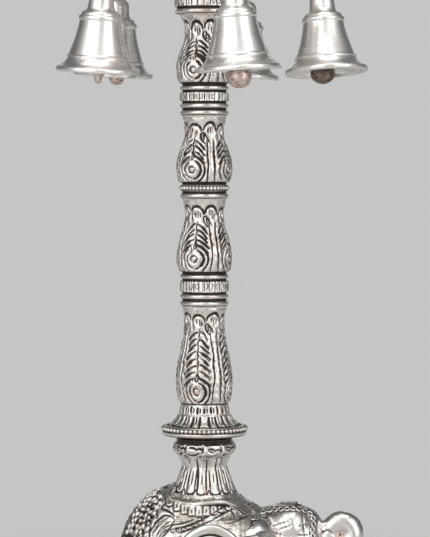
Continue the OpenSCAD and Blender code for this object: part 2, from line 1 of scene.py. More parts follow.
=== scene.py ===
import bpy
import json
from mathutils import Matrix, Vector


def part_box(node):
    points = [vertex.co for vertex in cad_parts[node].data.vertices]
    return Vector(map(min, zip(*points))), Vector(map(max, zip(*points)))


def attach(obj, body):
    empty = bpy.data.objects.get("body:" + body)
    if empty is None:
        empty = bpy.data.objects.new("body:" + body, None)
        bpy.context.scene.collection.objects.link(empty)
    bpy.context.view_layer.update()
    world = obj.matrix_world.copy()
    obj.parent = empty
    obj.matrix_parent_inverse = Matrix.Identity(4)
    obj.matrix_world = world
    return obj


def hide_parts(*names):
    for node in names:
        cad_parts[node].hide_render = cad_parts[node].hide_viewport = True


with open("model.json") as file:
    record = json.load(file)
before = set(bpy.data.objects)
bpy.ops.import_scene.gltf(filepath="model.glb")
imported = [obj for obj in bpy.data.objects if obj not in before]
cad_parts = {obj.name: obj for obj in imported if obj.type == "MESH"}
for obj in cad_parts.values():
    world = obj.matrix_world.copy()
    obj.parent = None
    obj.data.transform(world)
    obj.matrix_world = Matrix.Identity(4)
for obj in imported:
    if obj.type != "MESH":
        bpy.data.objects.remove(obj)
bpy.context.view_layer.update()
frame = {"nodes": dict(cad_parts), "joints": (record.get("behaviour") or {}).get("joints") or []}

import json
import math
import random

import bmesh
import bpy
import numpy as np
from mathutils import Matrix, Vector
from mathutils.bvhtree import BVHTree

mm = 0.001
scene = bpy.context.scene
scene.view_settings.view_transform = "Standard"
nodes = frame["nodes"]
joints = {joint["name"]: joint for joint in frame["joints"]}


# Camera, floor and lights. The camera is placed in millimetres, the lamps and the floor in metres

print("stage: camera, floor and lights")
shot = {"camera": (3.9, -870, 213.4), "target": (3.9, 0, 169.9), "lens": 159.1, "sensor": 36}
studio = {"paper": (0.56, 0.56, 0.55), "front": (0.60, 0.59, 0.57), "sides": (0.13, 0.13, 0.13),
          "frontToSides": (-0.45, 0.4), "sidesToBack": (0.8, 0.97), "lampAim": (0, 0, 0.17),
          "floorTone": (0.80, 0.80, 0.79), "floorRough": 0.8, "floor": 60, "shadowReach": 0.5}
lamps = {
    "leftBox": {"at": (-0.54, -0.78, 0.36), "size": (0.95, 1.15), "watts": 4.1},
    "rightBox": {"at": (0.66, -0.66, 0.34), "size": (0.62, 1.10), "watts": 2.6},
    "topBox": {"at": (0.0, -0.25, 1.05), "size": (0.80, 0.80), "watts": 2.5},
}


def aim(thing, place, target):
    thing.location = place
    thing.rotation_euler = (Vector(target) - Vector(place)).to_track_quat("-Z", "Y").to_euler()
    scene.collection.objects.link(thing)


camera = bpy.data.objects.new("camera", bpy.data.cameras.new("camera"))
camera.data.sensor_fit = "VERTICAL"
camera.data.sensor_height = shot["sensor"]
camera.data.lens = shot["lens"]
camera.data.clip_end = 4 * studio["floor"]
aim(camera, Vector(shot["camera"]) * mm, Vector(shot["target"]) * mm)
scene.camera = camera

for name, lamp in lamps.items():
    light = bpy.data.lights.new(name, "AREA")
    light.shape = "RECTANGLE"
    light.size, light.size_y = lamp["size"]
    light.energy = lamp["watts"]
    aim(bpy.data.objects.new(name, light), lamp["at"], studio["lampAim"])


def addNode(tree, kind, **sockets):
    made = tree.nodes.new("ShaderNode" + kind)
    for socket, value in sockets.items():
        made.inputs[socket.replace("_", " ")].default_value = value
    return made


def rangeOf(tree, value, span, start=0, end=1):
    made = addNode(tree, "MapRange", From_Min=span[0], From_Max=span[1], To_Min=start, To_Max=end)
    made.interpolation_type = "SMOOTHSTEP"
    tree.links.new(value, made.inputs["Value"])
    return made.outputs["Result"]


def mixOf(tree, factor, first, second):
    made = addNode(tree, "Mix")
    made.data_type = "RGBA"
    tree.links.new(factor, made.inputs[0])
    for socket, tone in ((made.inputs[6], first), (made.inputs[7], second)):
        if isinstance(tone, tuple):
            socket.default_value = (*tone, 1)
        else:
            tree.links.new(tone, socket)
    return made.outputs[2]


# The room that the metal reflects: pale in front, dark at the sides and paper behind
world = bpy.data.worlds.new("studio")
scene.world = world
world.use_nodes = True
tree = world.node_tree
heading = addNode(tree, "TexCoord")
split = addNode(tree, "SeparateXYZ")
tree.links.new(heading.outputs["Generated"], split.inputs[0])
depth = split.outputs["Y"]
room = mixOf(tree, rangeOf(tree, depth, studio["frontToSides"]), studio["front"], studio["sides"])
backed = mixOf(tree, rangeOf(tree, depth, studio["sidesToBack"]), room, studio["paper"])
seen = addNode(tree, "LightPath")
shown = mixOf(tree, seen.outputs["Is Camera Ray"], backed, studio["paper"])
tree.links.new(shown, tree.nodes["Background"].inputs["Color"])


# The floor keeps the shadow near the lamp and turns into the paper tone farther out
def floorMaterial():
    mat = bpy.data.materials.new("paper floor")
    mat.use_nodes = True
    tree = mat.node_tree
    link = tree.links.new
    shader = tree.nodes["Principled BSDF"]
    shader.inputs["Base Color"].default_value = (*studio["floorTone"], 1)
    shader.inputs["Roughness"].default_value = studio["floorRough"]
    coords = addNode(tree, "TexCoord")
    far = addNode(tree, "VectorMath")
    far.operation = "LENGTH"
    link(coords.outputs["Object"], far.inputs[0])
    reach = studio["shadowReach"]
    glow = addNode(tree, "Emission", Color=(*studio["paper"], 1))
    join = addNode(tree, "MixShader")
    seen = addNode(tree, "LightPath")
    share = addNode(tree, "Math")
    share.operation = "MULTIPLY"
    link(rangeOf(tree, far.outputs["Value"], (reach / 3, reach)), share.inputs[0])
    link(seen.outputs["Is Camera Ray"], share.inputs[1])
    for source, socket in zip((share, shader, glow), join.inputs):
        link(source.outputs[0], socket)
    link(join.outputs[0], tree.nodes["Material Output"].inputs["Surface"])
    return mat


bm = bmesh.new()
bmesh.ops.create_grid(bm, x_segments=1, y_segments=1, size=studio["floor"])
floorMesh = bpy.data.meshes.new("floor")
bm.to_mesh(floorMesh)
bm.free()
floorMesh.materials.append(floorMaterial())
floor = bpy.data.objects.new("floor", floorMesh)
scene.collection.objects.link(floor)


# Metals. The oxide attribute of a piece is 1 in its dark recesses and 0 on its rubbed faces, and also carries
# painted shade on some pieces.
# cloud, patch, speck and grain are the sizes of the spots in millimetres

print("stage: materials")
usual = {"cloud": 2, "patch": 7, "speck": 0.9, "grain": 0.3, "ragged": 0.4, "bump": 0.3, "bumpDeep": 0.05,
         "darkSpan": (0.2, 0.85), "wornSpan": (0.35, 0.7), "blushSpan": (0.52, 0.68), "shineSpan": (0.3, 0.7),
         "metallic": 1, "oxideMetallic": 0.35, "oxideRough": 0.55}
metals = {
    "antique_silver": {"bright": (0.87, 0.84, 0.81), "worn": (0.74, 0.70, 0.67), "blush": (0.78, 0.68, 0.63),
                       "oxide": (0.024, 0.018, 0.014), "rough": (0.20, 0.34), "cloud": 5, "grain": 0.35,
                       "ragged": 0.35, "bump": 0.25},
    "elephant_silver": {"bright": (0.82, 0.79, 0.76), "worn": (0.62, 0.59, 0.55), "blush": (0.68, 0.62, 0.57),
                        "oxide": (0.028, 0.022, 0.017), "rough": (0.22, 0.38), "cloud": 5, "grain": 0.4},
    "face_silver": {"bright": (0.88, 0.86, 0.84), "worn": (0.78, 0.75, 0.73), "blush": (0.78, 0.69, 0.65),
                    "oxide": (0.03, 0.023, 0.018), "rough": (0.17, 0.30), "cloud": 6, "grain": 0.4,
                    "bump": 0.25},
    "bell_silver": {"bright": (0.95, 0.94, 0.93), "worn": (0.92, 0.90, 0.88), "blush": (0.92, 0.87, 0.84),
                    "oxide": (0.30, 0.22, 0.19), "rough": (0.25, 0.34), "cloud": 9, "grain": 0.6,
                    "ragged": 0.2, "bump": 0.12},
    "ring_silver": {"bright": (0.74, 0.70, 0.67), "worn": (0.55, 0.50, 0.47), "blush": (0.62, 0.50, 0.45),
                    "oxide": (0.03, 0.024, 0.02), "rough": (0.22, 0.38)},
    "steel": {"bright": (0.60, 0.60, 0.61), "worn": (0.46, 0.45, 0.45), "blush": (0.48, 0.45, 0.43),
              "oxide": (0.05, 0.04, 0.035), "rough": (0.25, 0.42), "cloud": 3},
    "copper_wire": {"bright": (0.80, 0.55, 0.47), "worn": (0.62, 0.40, 0.33), "blush": (0.72, 0.52, 0.46),
                    "oxide": (0.06, 0.035, 0.025), "rough": (0.22, 0.40)},
    "clapper_iron": {"bright": (0.26, 0.19, 0.16), "worn": (0.14, 0.10, 0.08), "blush": (0.34, 0.27, 0.24),
                     "oxide": (0.03, 0.02, 0.016), "rough": (0.34, 0.60), "grain": 0.5, "ragged": 0.5,
                     "bump": 0.8, "metallic": 0.7},
    "clapper_brass": {"bright": (0.80, 0.64, 0.57), "worn": (0.64, 0.48, 0.42), "blush": (0.80, 0.70, 0.65),
                      "oxide": (0.07, 0.045, 0.035), "rough": (0.24, 0.42), "cloud": 3, "grain": 0.4,
                      "bump": 0.4},
}


def metal(name, look):
    mat = bpy.data.materials.new(name)
    mat.use_nodes = True
    tree = mat.node_tree
    link = tree.links.new
    shader = tree.nodes["Principled BSDF"]
    coords = addNode(tree, "TexCoord")

    def noise(size, detail):
        made = addNode(tree, "TexNoise", Scale=1 / (look[size] * mm), Detail=detail)
        link(coords.outputs["Object"], made.inputs["Vector"])
        return made.outputs["Fac"]

    cloud, patch, speck, grain = noise("cloud", 4), noise("patch", 3), noise("speck", 3), noise("grain", 2)
    # The oxide attribute holds real oxide and, on the skirt, pedestal and saddle ring, painted shade as well
    stain = addNode(tree, "Attribute")
    stain.attribute_name = "oxide"
    ragged = addNode(tree, "Math")
    ragged.operation = "MULTIPLY_ADD"
    ragged.inputs[1].default_value = look["ragged"]
    link(speck, ragged.inputs[0])
    link(stain.outputs["Fac"], ragged.inputs[2])
    dark = rangeOf(tree, ragged.outputs[0], [edge + look["ragged"] / 2 for edge in look["darkSpan"]])
    worn = mixOf(tree, rangeOf(tree, cloud, look["wornSpan"]), look["bright"], look["worn"])
    tinted = mixOf(tree, rangeOf(tree, patch, look["blushSpan"]), worn, look["blush"])
    link(mixOf(tree, dark, tinted, look["oxide"]), shader.inputs["Base Color"])
    dull = addNode(tree, "Mix")
    dull.inputs[3].default_value = look["oxideRough"]
    link(dark, dull.inputs[0])
    link(rangeOf(tree, cloud, look["shineSpan"], *look["rough"]), dull.inputs[2])
    link(dull.outputs[0], shader.inputs["Roughness"])
    bare = look["metallic"]
    link(rangeOf(tree, dark, (0, 1), bare, look["oxideMetallic"] * bare), shader.inputs["Metallic"])
    bump = addNode(tree, "Bump", Strength=look["bump"], Distance=look["bumpDeep"] * mm)
    link(grain, bump.inputs["Height"])
    link(bump.outputs[0], shader.inputs["Normal"])
    return mat


finish = {name: metal(name, {**usual, **look}) for name, look in metals.items()}


# Tools for making pieces

def addPiece(name, bm, material, body, covers=(), sharp=48):
    mesh = bpy.data.meshes.new(name)
    bm.to_mesh(mesh)
    bm.free()
    piece = bpy.data.objects.new(name, mesh)
    scene.collection.objects.link(piece)
    mesh.materials.append(finish[material])
    mesh.shade_smooth()
    mesh.set_sharp_from_angle(angle=math.radians(sharp))
    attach(piece, body)
    if covers:
        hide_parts(*covers)
    return piece


def chasedPiece(node, bm):
    return addPiece("chased_" + node, bm, "antique_silver", "stand", [node])


def elephantPiece(name, bm, material="face_silver", covers=()):
    return addPiece(name, bm, material, "stand", covers)


def heights(node):
    return [corner.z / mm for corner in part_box(node)]


# Outline of a turned node as points of radius and height, and whether it runs back to its start.
# Points in the same or a neighbouring cell count as one
def turnedLoop(node, toLocal=Matrix(), cellsPerMm=100):
    known, keys, near = {}, [], {}
    for vert in nodes[node].data.vertices:
        spot = (toLocal @ vert.co) / mm
        r, z = math.hypot(spot.x, spot.y), spot.z
        cell = round(cellsPerMm * r), round(cellsPerMm * z)
        cells = ((cell[0] + i, cell[1] + j) for i in (0, 1, -1) for j in (0, 1, -1))
        key = next((place for place in cells if place in known), cell)
        known.setdefault(key, Vector((r, z)))
        keys.append(key)
    for edge in nodes[node].data.edges:
        first, second = (keys[i] for i in edge.vertices)
        if first != second:
            near.setdefault(first, set()).add(second)
            near.setdefault(second, set()).add(first)
    ends = [key for key in near if len(near[key]) == 1]
    chain = [ends[0] if ends else max(near)]
    while True:
        onward = [key for key in near[chain[-1]] if key not in chain[-2:] and key != chain[0]]
        if not onward or onward[0] in chain:
            break
        chain.append(onward[0])
    line = [known[key] for key in chain]
    if ends:
        line = [Vector((0, line[0].y)), *line, Vector((0, line[-1].y))]
    return line, not ends


# A smooth stretch of an outline, in steps that are short where it can be seen
def redrawn(stretch, step, hidden):
    ends = [2 * stretch[0] - stretch[1], *stretch, 2 * stretch[-1] - stretch[-2]]
    line = []
    for before, here, there, after in zip(ends, ends[1:], ends[2:], ends[3:]):
        gap = (there - here).length
        lead = ((here - before).normalized() + (there - here).normalized()) / 2 * gap
        trail = ((there - here).normalized() + (after - there).normalized()) / 2 * gap
        parts = 1 if max(here.x, there.x) < hidden else max(1, math.ceil(gap / step))
        for t in (k / parts for k in range(parts)):
            line.append(here * (2 * t**3 - 3 * t**2 + 1) + lead * (t**3 - 2 * t**2 + t)
                        + there * (3 * t**2 - 2 * t**3) + trail * (t**3 - t**2))
    return line


def refined(line, closed, step, hidden, corner=35):
    count = len(line)

    def turn(i):
        return (line[i] - line[i - 1]).angle(line[(i + 1) % count] - line[i], 0)

    corners = [i for i in range(count) if turn(i) > math.radians(corner)]
    if closed:
        corners.append(corners[0] + count)
    else:
        corners = sorted({0, count - 1, *corners})
    fine = []
    for first, last in zip(corners, corners[1:]):
        fine += redrawn([line[i % count] for i in range(first, last + 1)], step, hidden)
    return fine if closed else fine + [line[-1]]


# One wedge is spun first and then copied round, which is quicker than one full spin
def spun(line, closed, turns, place=Matrix(), wedges=16):
    bm = bmesh.new()
    verts = [bm.verts.new((point.x * mm, 0, point.y * mm)) for point in line]
    edges = [bm.edges.new(pair) for pair in zip(verts, verts[1:])]
    if closed:
        edges.append(bm.edges.new((verts[-1], verts[0])))
    axis = {"cent": (0, 0, 0), "axis": (0, 0, 1)}
    bmesh.ops.spin(bm, geom=verts + edges, angle=math.tau / wedges, steps=turns // wedges, **axis)
    bmesh.ops.spin(bm, geom=bm.verts[:] + bm.edges[:] + bm.faces[:], angle=math.tau * (wedges - 1) / wedges,
                   steps=wedges - 1, use_duplicate=True, **axis)
    bmesh.ops.remove_doubles(bm, verts=bm.verts, dist=0.002 * mm)
    bmesh.ops.recalc_face_normals(bm, faces=bm.faces)
    bm.transform(place)
    return bm


def turned(node, look, hidden=6.5, reshape=list):
    line, closed = turnedLoop(node)
    fine = refined(reshape(line), closed, look["step"], hidden)
    return chasedPiece(node, spun(fine, closed, look["turns"]))


def skin(piece):
    count = 3 * len(piece.data.vertices)
    spots, normals = np.empty(count, np.float32), np.empty(count, np.float32)
    piece.data.vertices.foreach_get("co", spots)
    piece.data.vertex_normals.foreach_get("vector", normals)
    return spots.reshape(-1, 3).astype(float) / mm, normals.reshape(-1, 3).astype(float)


def polar(spots):
    return np.arctan2(spots[:, 1], spots[:, 0]), np.hypot(spots[:, 0], spots[:, 1]), spots[:, 2]


def moved(piece, spots):
    piece.data.vertices.foreach_set("co", (spots * mm).astype(np.float32).ravel())
    piece.data.update()


def carve(piece, lift, oxide):
    spots, normals = skin(piece)
    layer = piece.data.attributes.new("oxide", "FLOAT", "POINT")
    layer.data.foreach_set("value", np.clip(oxide, 0, 1).astype(np.float32))
    moved(piece, spots + normals * lift[:, None])


def fade(value, start, end):
    t = np.clip((value - start) / (end - start), 0, 1)
    return t * t * (3 - 2 * t)


# Smooth unevenness between -1 and 1, with waves of about the given size
def uneven(spots, size, seed, count=7):
    rng = np.random.default_rng(seed)
    waves = np.zeros(len(spots))
    for k in range(count):
        heading = rng.normal(size=3)
        heading *= math.tau / (size * rng.uniform(0.7, 1.5)) / np.linalg.norm(heading)
        waves += np.sin(spots @ heading + rng.uniform(0, math.tau)) / count
    return waves


def arcLine(x, z, wide, tall, start, end, parts=12):
    turn = np.radians(np.linspace(start, end, parts + 1))
    return np.column_stack([x + wide * np.cos(turn), z + tall * np.sin(turn)])


def bowLine(first, pull, last, parts=8):
    t = np.linspace(0, 1, parts + 1)[:, None]
    return np.array(first) * (1 - t) ** 2 + 2 * np.array(pull) * t * (1 - t) + np.array(last) * t**2


# A chased cut is a line and half its width
def arcCut(x, z, wide, tall, start, end, width, parts=12):
    return arcLine(x, z, wide, tall, start, end, parts), width


def bowCut(first, pull, last, width, parts=8):
    return bowLine(first, pull, last, parts), width


# A row of petals: two bows from the foot to the tip of each, and a vein between them
def petalCuts(around, count, edge, spread, vein, widths):
    pitch = around / count
    cuts = []
    for x in (k * pitch for k in range(count)):
        for side in (-1, 1):
            foot, bulge = (x + side * share * pitch for share in spread)
            cuts.append(bowCut((foot, edge[0]), (bulge, edge[1]), (x, edge[2]), widths[0]))
        cuts.append(bowCut(*((x, level) for level in vein), widths[1]))
    return cuts


# Gap in millimetres from each point to the edge of the nearest cut, negative inside a cut.
# scale stretches x where the turned radius differs from the radius the cuts were drawn at
def lineGap(x, z, cuts, scale=None, around=1e6, reach=1.5):
    gap = np.full(len(x), reach)
    scale = np.ones(len(x)) if scale is None else scale
    for points, width in cuts:
        points = np.asarray(points, float)
        middle = points[:, 0].mean()
        low, high = points.min(0) - 1.6 * reach, points.max(0) + 1.6 * reach
        level = np.flatnonzero((z > low[1]) & (z < high[1]))
        near = (x[level] - middle + around / 2) % around - around / 2 + middle
        pick = (near > low[0]) & (near < high[0])
        level, near = level[pick], near[pick]
        stretch, last = scale[level], len(points) - 1
        best = gap[level]
        for i, (first, second) in enumerate(zip(points, points[1:])):
            runX, runZ = (second[0] - first[0]) * stretch, second[1] - first[1]
            offX, offZ = (near - first[0]) * stretch, z[level] - first[1]
            t = np.clip((offX * runX + offZ * runZ) / (runX**2 + runZ**2 + 1e-9), 0, 1)
            # thinner towards both ends
            taper = 0.35 + 0.65 * np.sin(np.pi * np.clip((i + t) / last, 0.02, 0.98)) ** 0.5
            best = np.minimum(best, np.hypot(offX - t * runX, offZ - t * runZ) - width * taper)
        gap[level] = best
    return gap


def turnedGap(theta, r, climb, cuts, drawn):
    return lineGap(theta * drawn, climb, cuts, r / drawn, math.tau * drawn)


# The metal swells between the cuts, and the dark of a cut fades out beside it
def chased(gap, deep=0.34, pillow=0.2, soft=0.12, swell=0.45, shade=0.15):
    cut, beside = fade(gap, soft, -soft), np.clip(gap, 0, None)
    lift = pillow * (1 - np.exp(-beside / swell)) - deep * cut
    return lift, np.maximum(cut, 0.5 * np.exp(-beside / shade))


def beadRow(across, along, pitch, size, sunk=0.3):
    near = (across + pitch / 2) % pitch - pitch / 2
    inside = 1 - (near**2 + along**2) / size**2
    row = np.abs(along) < 1.35 * size
    lift = size * np.sqrt(np.clip(inside, 0, 1)) - sunk
    return np.where(row, lift, 0), np.where(row, fade(inside, 0.3, -0.1), 0)


# Vases: four chased peacock feathers round each, with a plain stripe between two feathers

print("stage: vases")
vase = {"turns": 272, "step": 0.25, "feathers": 4, "eyeHigh": 4.6, "crownDrop": 5.6, "shoulderDrop": 10.0,
        "facing": (-16.4, -21.6, -28.6, -23.0), "barbGap": (2.35, 1.75, 1.75, 1.75),
        "deep": 0.38, "bolder": 0.03, "wobble": 0.7, "ragged": 0.2, "dents": 0.3, "stain": 0.5}


# One feather, drawn from its middle line and from the vase's foot
def featherCuts(rng, tall, half, barbGap):
    eye, crown, shoulder = vase["eyeHigh"], tall - vase["crownDrop"], tall - vase["shoulderDrop"]

    def jog(amount):
        return rng.uniform(-amount, amount)

    cuts = []
    for x, drop in ((0, 0.3), (half, -0.2)):  # round heads of the feather and of the stripe
        cuts.append(arcCut(x, crown - drop, 3.5, 2.7, 2, 178, 0.42))
        for vein, length in ((-1.1, 1.3), (0.4, 2.0), (1.5, 1.5)):
            top = crown - drop + 0.5 + jog(0.4)
            pull = x + vein + jog(0.4), top - 0.7
            cuts.append(bowCut((x + vein, top), pull, (x + vein, top - length), 0.17))
        cuts.append(bowCut((x - 3.3, crown - 0.8), (x - 2.9, crown - 2), (x - 3.1, crown - 3.2), 0.22))
    leaf = half * 0.52
    tip = leaf + 0.4, crown - 0.6
    cuts.append(bowCut((leaf + 1.6, shoulder - 0.2), (leaf - 2.6, crown - 1.8), tip, 0.28))
    cuts.append(bowCut(tip, (leaf + 1.8, crown - 1.6), (leaf + 3.4, shoulder + 0.2), 0.28))
    vein = leaf + 0.4, crown - 2.0
    cuts.append(bowCut(vein, (leaf + 1.0, crown - 2.8), (leaf + 1.4, shoulder + 0.9), 0.14))
    stem = np.linspace(shoulder + 1.2, eye + 5.0, 16)
    cuts.append((np.column_stack([0.3 * np.sin(2.2 * stem) + 0.1, stem]), 0.2))
    barbs = int((shoulder - eye - 4.0) / barbGap) + 1
    for side in (-1, 1):
        for k in range(barbs):  # a bold barb and a thin one below it
            z = shoulder + 0.4 - k * barbGap + jog(0.25)
            start, spread = 0.9 + jog(0.3), 5.3 + jog(0.4)
            bold = (0.37 if k % 2 else 0.27) if side > 0 else 0.26
            cuts.append(bowCut((side * start, z), (side * 3.4, z - 0.5), (side * spread, z - 3.0), bold))
            z -= barbGap / 2
            start, spread = start + 1.6, spread - 0.3
            cuts.append(bowCut((side * start, z), (side * 3.9, z - 0.7), (side * spread, z - 2.5), 0.13))
        edge = side * 6.2
        cuts.append(bowCut((edge, shoulder + 1.0), (side * 7.4, tall * 0.4), (edge, 0.5), 0.3, 14))
    hook = bowLine((0.2, eye + 7.6), (0.1, eye + 5.9), (1.9, eye + 4.9), 5)
    cuts.append((np.vstack([hook, arcLine(0, eye, 5.1, 5.4, 62, -62)]), 0.42))
    for ring in ((1.25, 1.25, 40, 380, 0.2), (2.9, 3.2, 115, 262, 0.22), (3.4, 3.7, -78, 68, 0.46),
                 (4.7, 5.0, 128, 236, 0.24)):
        cuts.append(arcCut(0, eye, *ring))
    for x, lean in ((-1.7, 0.7), (-0.4, 0.3), (0.7, -0.3)):
        cuts.append(bowCut((x, eye + 5.2 + jog(0.3)), (x, eye + 4.6), (x + lean, eye + 3.8), 0.16))
    return cuts


for index, facing in enumerate(vase["facing"]):
    node = f"vase_{index + 1}"
    piece = turned(node, vase)
    low, high = heights(node)
    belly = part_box(node)[1].x / mm
    spots = skin(piece)[0]
    theta, r, z = polar(spots)
    around = math.tau * belly
    half = around / vase["feathers"] / 2
    rng = random.Random(20 + index)
    cuts = []
    for k in range(vase["feathers"]):
        feather = featherCuts(rng, high - low, half, vase["barbGap"][index])
        cuts += [(points + [2 * half * k, 0], width) for points, width in feather]
    x = (theta + math.radians(90 - facing)) * belly + vase["wobble"] * uneven(spots, 9, 50 + index)
    rise = z - low + vase["wobble"] * uneven(spots, 9, 60 + index)
    ragged = vase["ragged"] * uneven(spots, 2.2, 70 + index)
    lift, oxide = chased(lineGap(x, rise, cuts, r / belly, around) - vase["bolder"] + ragged, vase["deep"])
    oxide = np.maximum(oxide, vase["stain"] * fade(uneven(spots, 1.7, 80 + index), 0.08, 0.45))
    outer = fade(r, 6.0, 6.6) * fade(z, low + 0.1, low + 0.6) * fade(z, high - 0.2, high - 1.6)
    seam = np.maximum(fade(z, low + 0.7, low + 0.1), 0.8 * fade(z, high - 0.25, high - 0.02))
    dents = vase["dents"] * uneven(spots, 3.5, index)
    carve(piece, (lift + dents) * outer, np.maximum(oxide * outer, seam))


# Bands: turned rings, with a fretted strip or a row of beads between them

print("stage: bands")
band = {"turns": 272, "step": 0.28, "frets": 28, "beads": 40, "beaded": "band_2",
        "deep": 0.42, "pillow": 0.12}


def fretCuts(rng, low, high, around):
    pitch, middle, tall = around / band["frets"], (low + high) / 2, high - low
    cuts = []
    for k in range(band["frets"]):
        x = k * pitch + rng.uniform(-0.12, 0.12)
        cuts.append(bowCut((x, low), (x + rng.uniform(-0.2, 0.2), middle), (x, high), 0.19, 5))
        kind = rng.random()
        if kind < 0.45:
            cuts.append(arcCut(x + pitch / 2, middle, pitch * 0.17, tall * 0.27, 0, 350, 0.1))
        elif kind < 0.75:
            foot, top = (x + 0.3 * pitch, low + 0.5), (x + 0.4 * pitch, high - 0.5)
            cuts.append(bowCut(foot, (x + 0.9 * pitch, middle), top, 0.13))
    return cuts


for index in range(4):
    node = f"band_{index + 1}"
    piece = turned(node, band)
    theta, r, z = polar(skin(piece)[0])
    line = turnedLoop(node)[0]
    pairs = zip(line, line[1:] + line[:1])
    walls = [(a, b) for a, b in pairs if abs(a.x - b.x) < 0.05 and a.x > 7]
    wall = max(walls, key=lambda ends: abs(ends[1].y - ends[0].y))
    low, high = sorted(end.y for end in wall)
    face, crest = wall[0].x, max(point.x for point in line)
    strip = fade(z, low - 0.05, low + 0.15) * fade(z, high + 0.05, high - 0.15) * (r > face - 0.3)
    around = math.tau * face
    if node == band["beaded"]:
        pitch = around / band["beads"]
        lift, oxide = beadRow(theta * face, z - (low + high) / 2, pitch, 0.48 * pitch)
    else:
        cuts = fretCuts(random.Random(40 + index), low, high, around)
        gap = lineGap(theta * face, z, cuts, None, around, 0.8)
        lift, oxide = chased(gap, band["deep"], band["pillow"])
    recess = fade(r, crest - 0.3, crest - 0.75) * (1 - strip) * (r > 6.5)
    carve(piece, lift * strip, np.maximum(oxide * strip, recess))


# Skirt: flutes, a ring of round-ended tongues and a beaded edge

print("stage: skirt and pedestal")
skirt = {"turns": 352, "step": 0.24, "flutes": 22, "tongues": 22, "beads": 56, "beadSize": 0.78,
         "beadRise": 3.5, "beadRound": 1.25, "beadTilt": 0.35, "drawn": 12.0, "rimDrop": 1.1,
         "hub": 2.3, "bolder": 0.1, "throat": (10.4, -4.2), "edge": (-1.2, 4.7)}
low, high = heights("column_skirt")
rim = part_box("column_skirt")[1].x / mm


def lowerRim(line):
    dropped = []
    for point in line:
        share = fade(point.x, 11.5, 13.5) * (point.y < low + skirt["hub"] + 1.3)
        dropped.append(Vector((point.x, point.y - skirt["rimDrop"] * share)))
    return dropped


piece = turned("column_skirt", skirt, reshape=lowerRim)
spots, normals = skin(piece)
theta, r, z = polar(spots)
throat = Vector((skirt["throat"][0], high + skirt["throat"][1]))
edge = Vector((rim + skirt["edge"][0], low + skirt["edge"][1]))
flare = np.hypot(r - throat.x, z - throat.y) * (z < throat.y)
reach = (edge - throat).length
around = math.tau * skirt["drawn"]
rng = random.Random(61)
tongues = []
pitch = around / skirt["tongues"]
for k in range(skirt["tongues"]):
    x, end = (k + rng.uniform(-0.1, 0.1)) * pitch, reach - 0.6 + rng.uniform(-0.3, 0.2)
    tongues.append(bowCut((x, 0.2), (x + rng.uniform(-0.2, 0.2), 2), (x, end), rng.uniform(0.34, 0.5)))
    tongues.append(arcCut(x + 0.5 * pitch, end, 0.42 * pitch, 0.6, 200, 340, 0.36))
    if rng.random() < 0.4:
        tongues.append(bowCut((x + 0.4 * pitch, 0.6), (x + 0.5 * pitch, 1.4), (x + 0.4 * pitch, 2.4), 0.14))
flutes = []
for k in range(skirt["flutes"]):
    x = (k + 0.5) * around / skirt["flutes"]
    foot, top = throat.y + rng.uniform(0.5, 1.2), high - rng.uniform(0.7, 1.6)
    pull = x + rng.uniform(-0.4, 0.4), high - 2
    flutes.append(bowCut((x, foot), pull, (x, top), rng.uniform(0.26, 0.42)))
    if rng.random() < 0.6:
        flutes.append(bowCut((x + 1.3, throat.y + 1.3), (x + 1.6, high - 2), (x + 1.3, high - 1.5), 0.18))
tongueGap = turnedGap(theta, r, flare, tongues, skirt["drawn"]) - skirt["bolder"]
fluteGap = turnedGap(theta, r, z, flutes, skirt["drawn"]) - skirt["bolder"]
tongueLift, tongueDark = chased(tongueGap, 0.34, 0.22)
fluteLift, fluteDark = chased(fluteGap, 0.32, 0.18)
beadTurn = np.arctan2(z - (low + skirt["beadRise"]), r - edge.x)
beadPitch, over = math.tau * rim / skirt["beads"], skirt["beadRound"] * (beadTurn - skirt["beadTilt"])
beadLift, beadDark = beadRow(theta * rim, over, beadPitch, skirt["beadSize"])
onFlare = fade(z, throat.y + 0.1, throat.y - 0.2) * fade(flare, reach + 0.2, reach - 0.3)
onFlare *= (normals[:, 2] > -0.2) & (r > 9)
onNeck = fade(z, throat.y + 0.3, throat.y + 0.7) * fade(z, high - 0.2, high - 0.6) * (r > 8.2)
onRim = fade(r, rim - 1.3, rim - 1.0) * (z < low + 5.2)
# Painted shade: hub darkens the hub below the rim and under darkens the downward faces, where shade falls
# under the skirt
hub = fade(z, low + skirt["hub"] + 0.1, low + skirt["hub"] - 0.3) * (r < 12.5) * (r > 7)
under = fade(normals[:, 2], -0.3, -0.8) * (r > 7)
topSeam = fade(z, high - 0.4, high - 0.05) * (r > 7)
stain = 0.5 * fade(uneven(spots, 2.6, 63), 0.05, 0.35) * onFlare
darks = [tongueDark * onFlare, fluteDark * onNeck, beadDark * onRim, stain, 0.9 * under, hub, topSeam]
carve(piece, tongueLift * onFlare + fluteLift * onNeck + beadLift * onRim, np.max(darks, 0))


# Pedestal: scrolls on the collar, cuts down the waist, long tongues and leaves on the foot

pedestal = {"turns": 320, "step": 0.24, "scrolls": 10, "cuts": 17, "tongues": 14, "drawn": 10.0,
            "start": 0.35, "waist": 12.4, "collar": 17.3, "dents": 0.14, "cutLengths": (1.0, 2.2, 4.5, 6.5),
            "dome": ((8.25, 13.2), (8.9, 15.8), (9.8, 17.4), (11.1, 18.5), (11.6, 19.9), (11.1, 21.7),
                     (10.2, 23.1))}
low, high = heights("saddle_pedestal")
waist, collar = low + pedestal["waist"], low + pedestal["collar"]


def domed(line):
    old = [i for i, point in enumerate(line) if point.x > 7.8 and waist + 0.2 < point.y < high - 0.02]
    dome = [Vector((r, low + z)) for r, z in pedestal["dome"]]
    if line[old[0]].y > line[old[-1]].y:
        dome.reverse()
    return line[:old[0]] + dome + line[old[-1] + 1:]


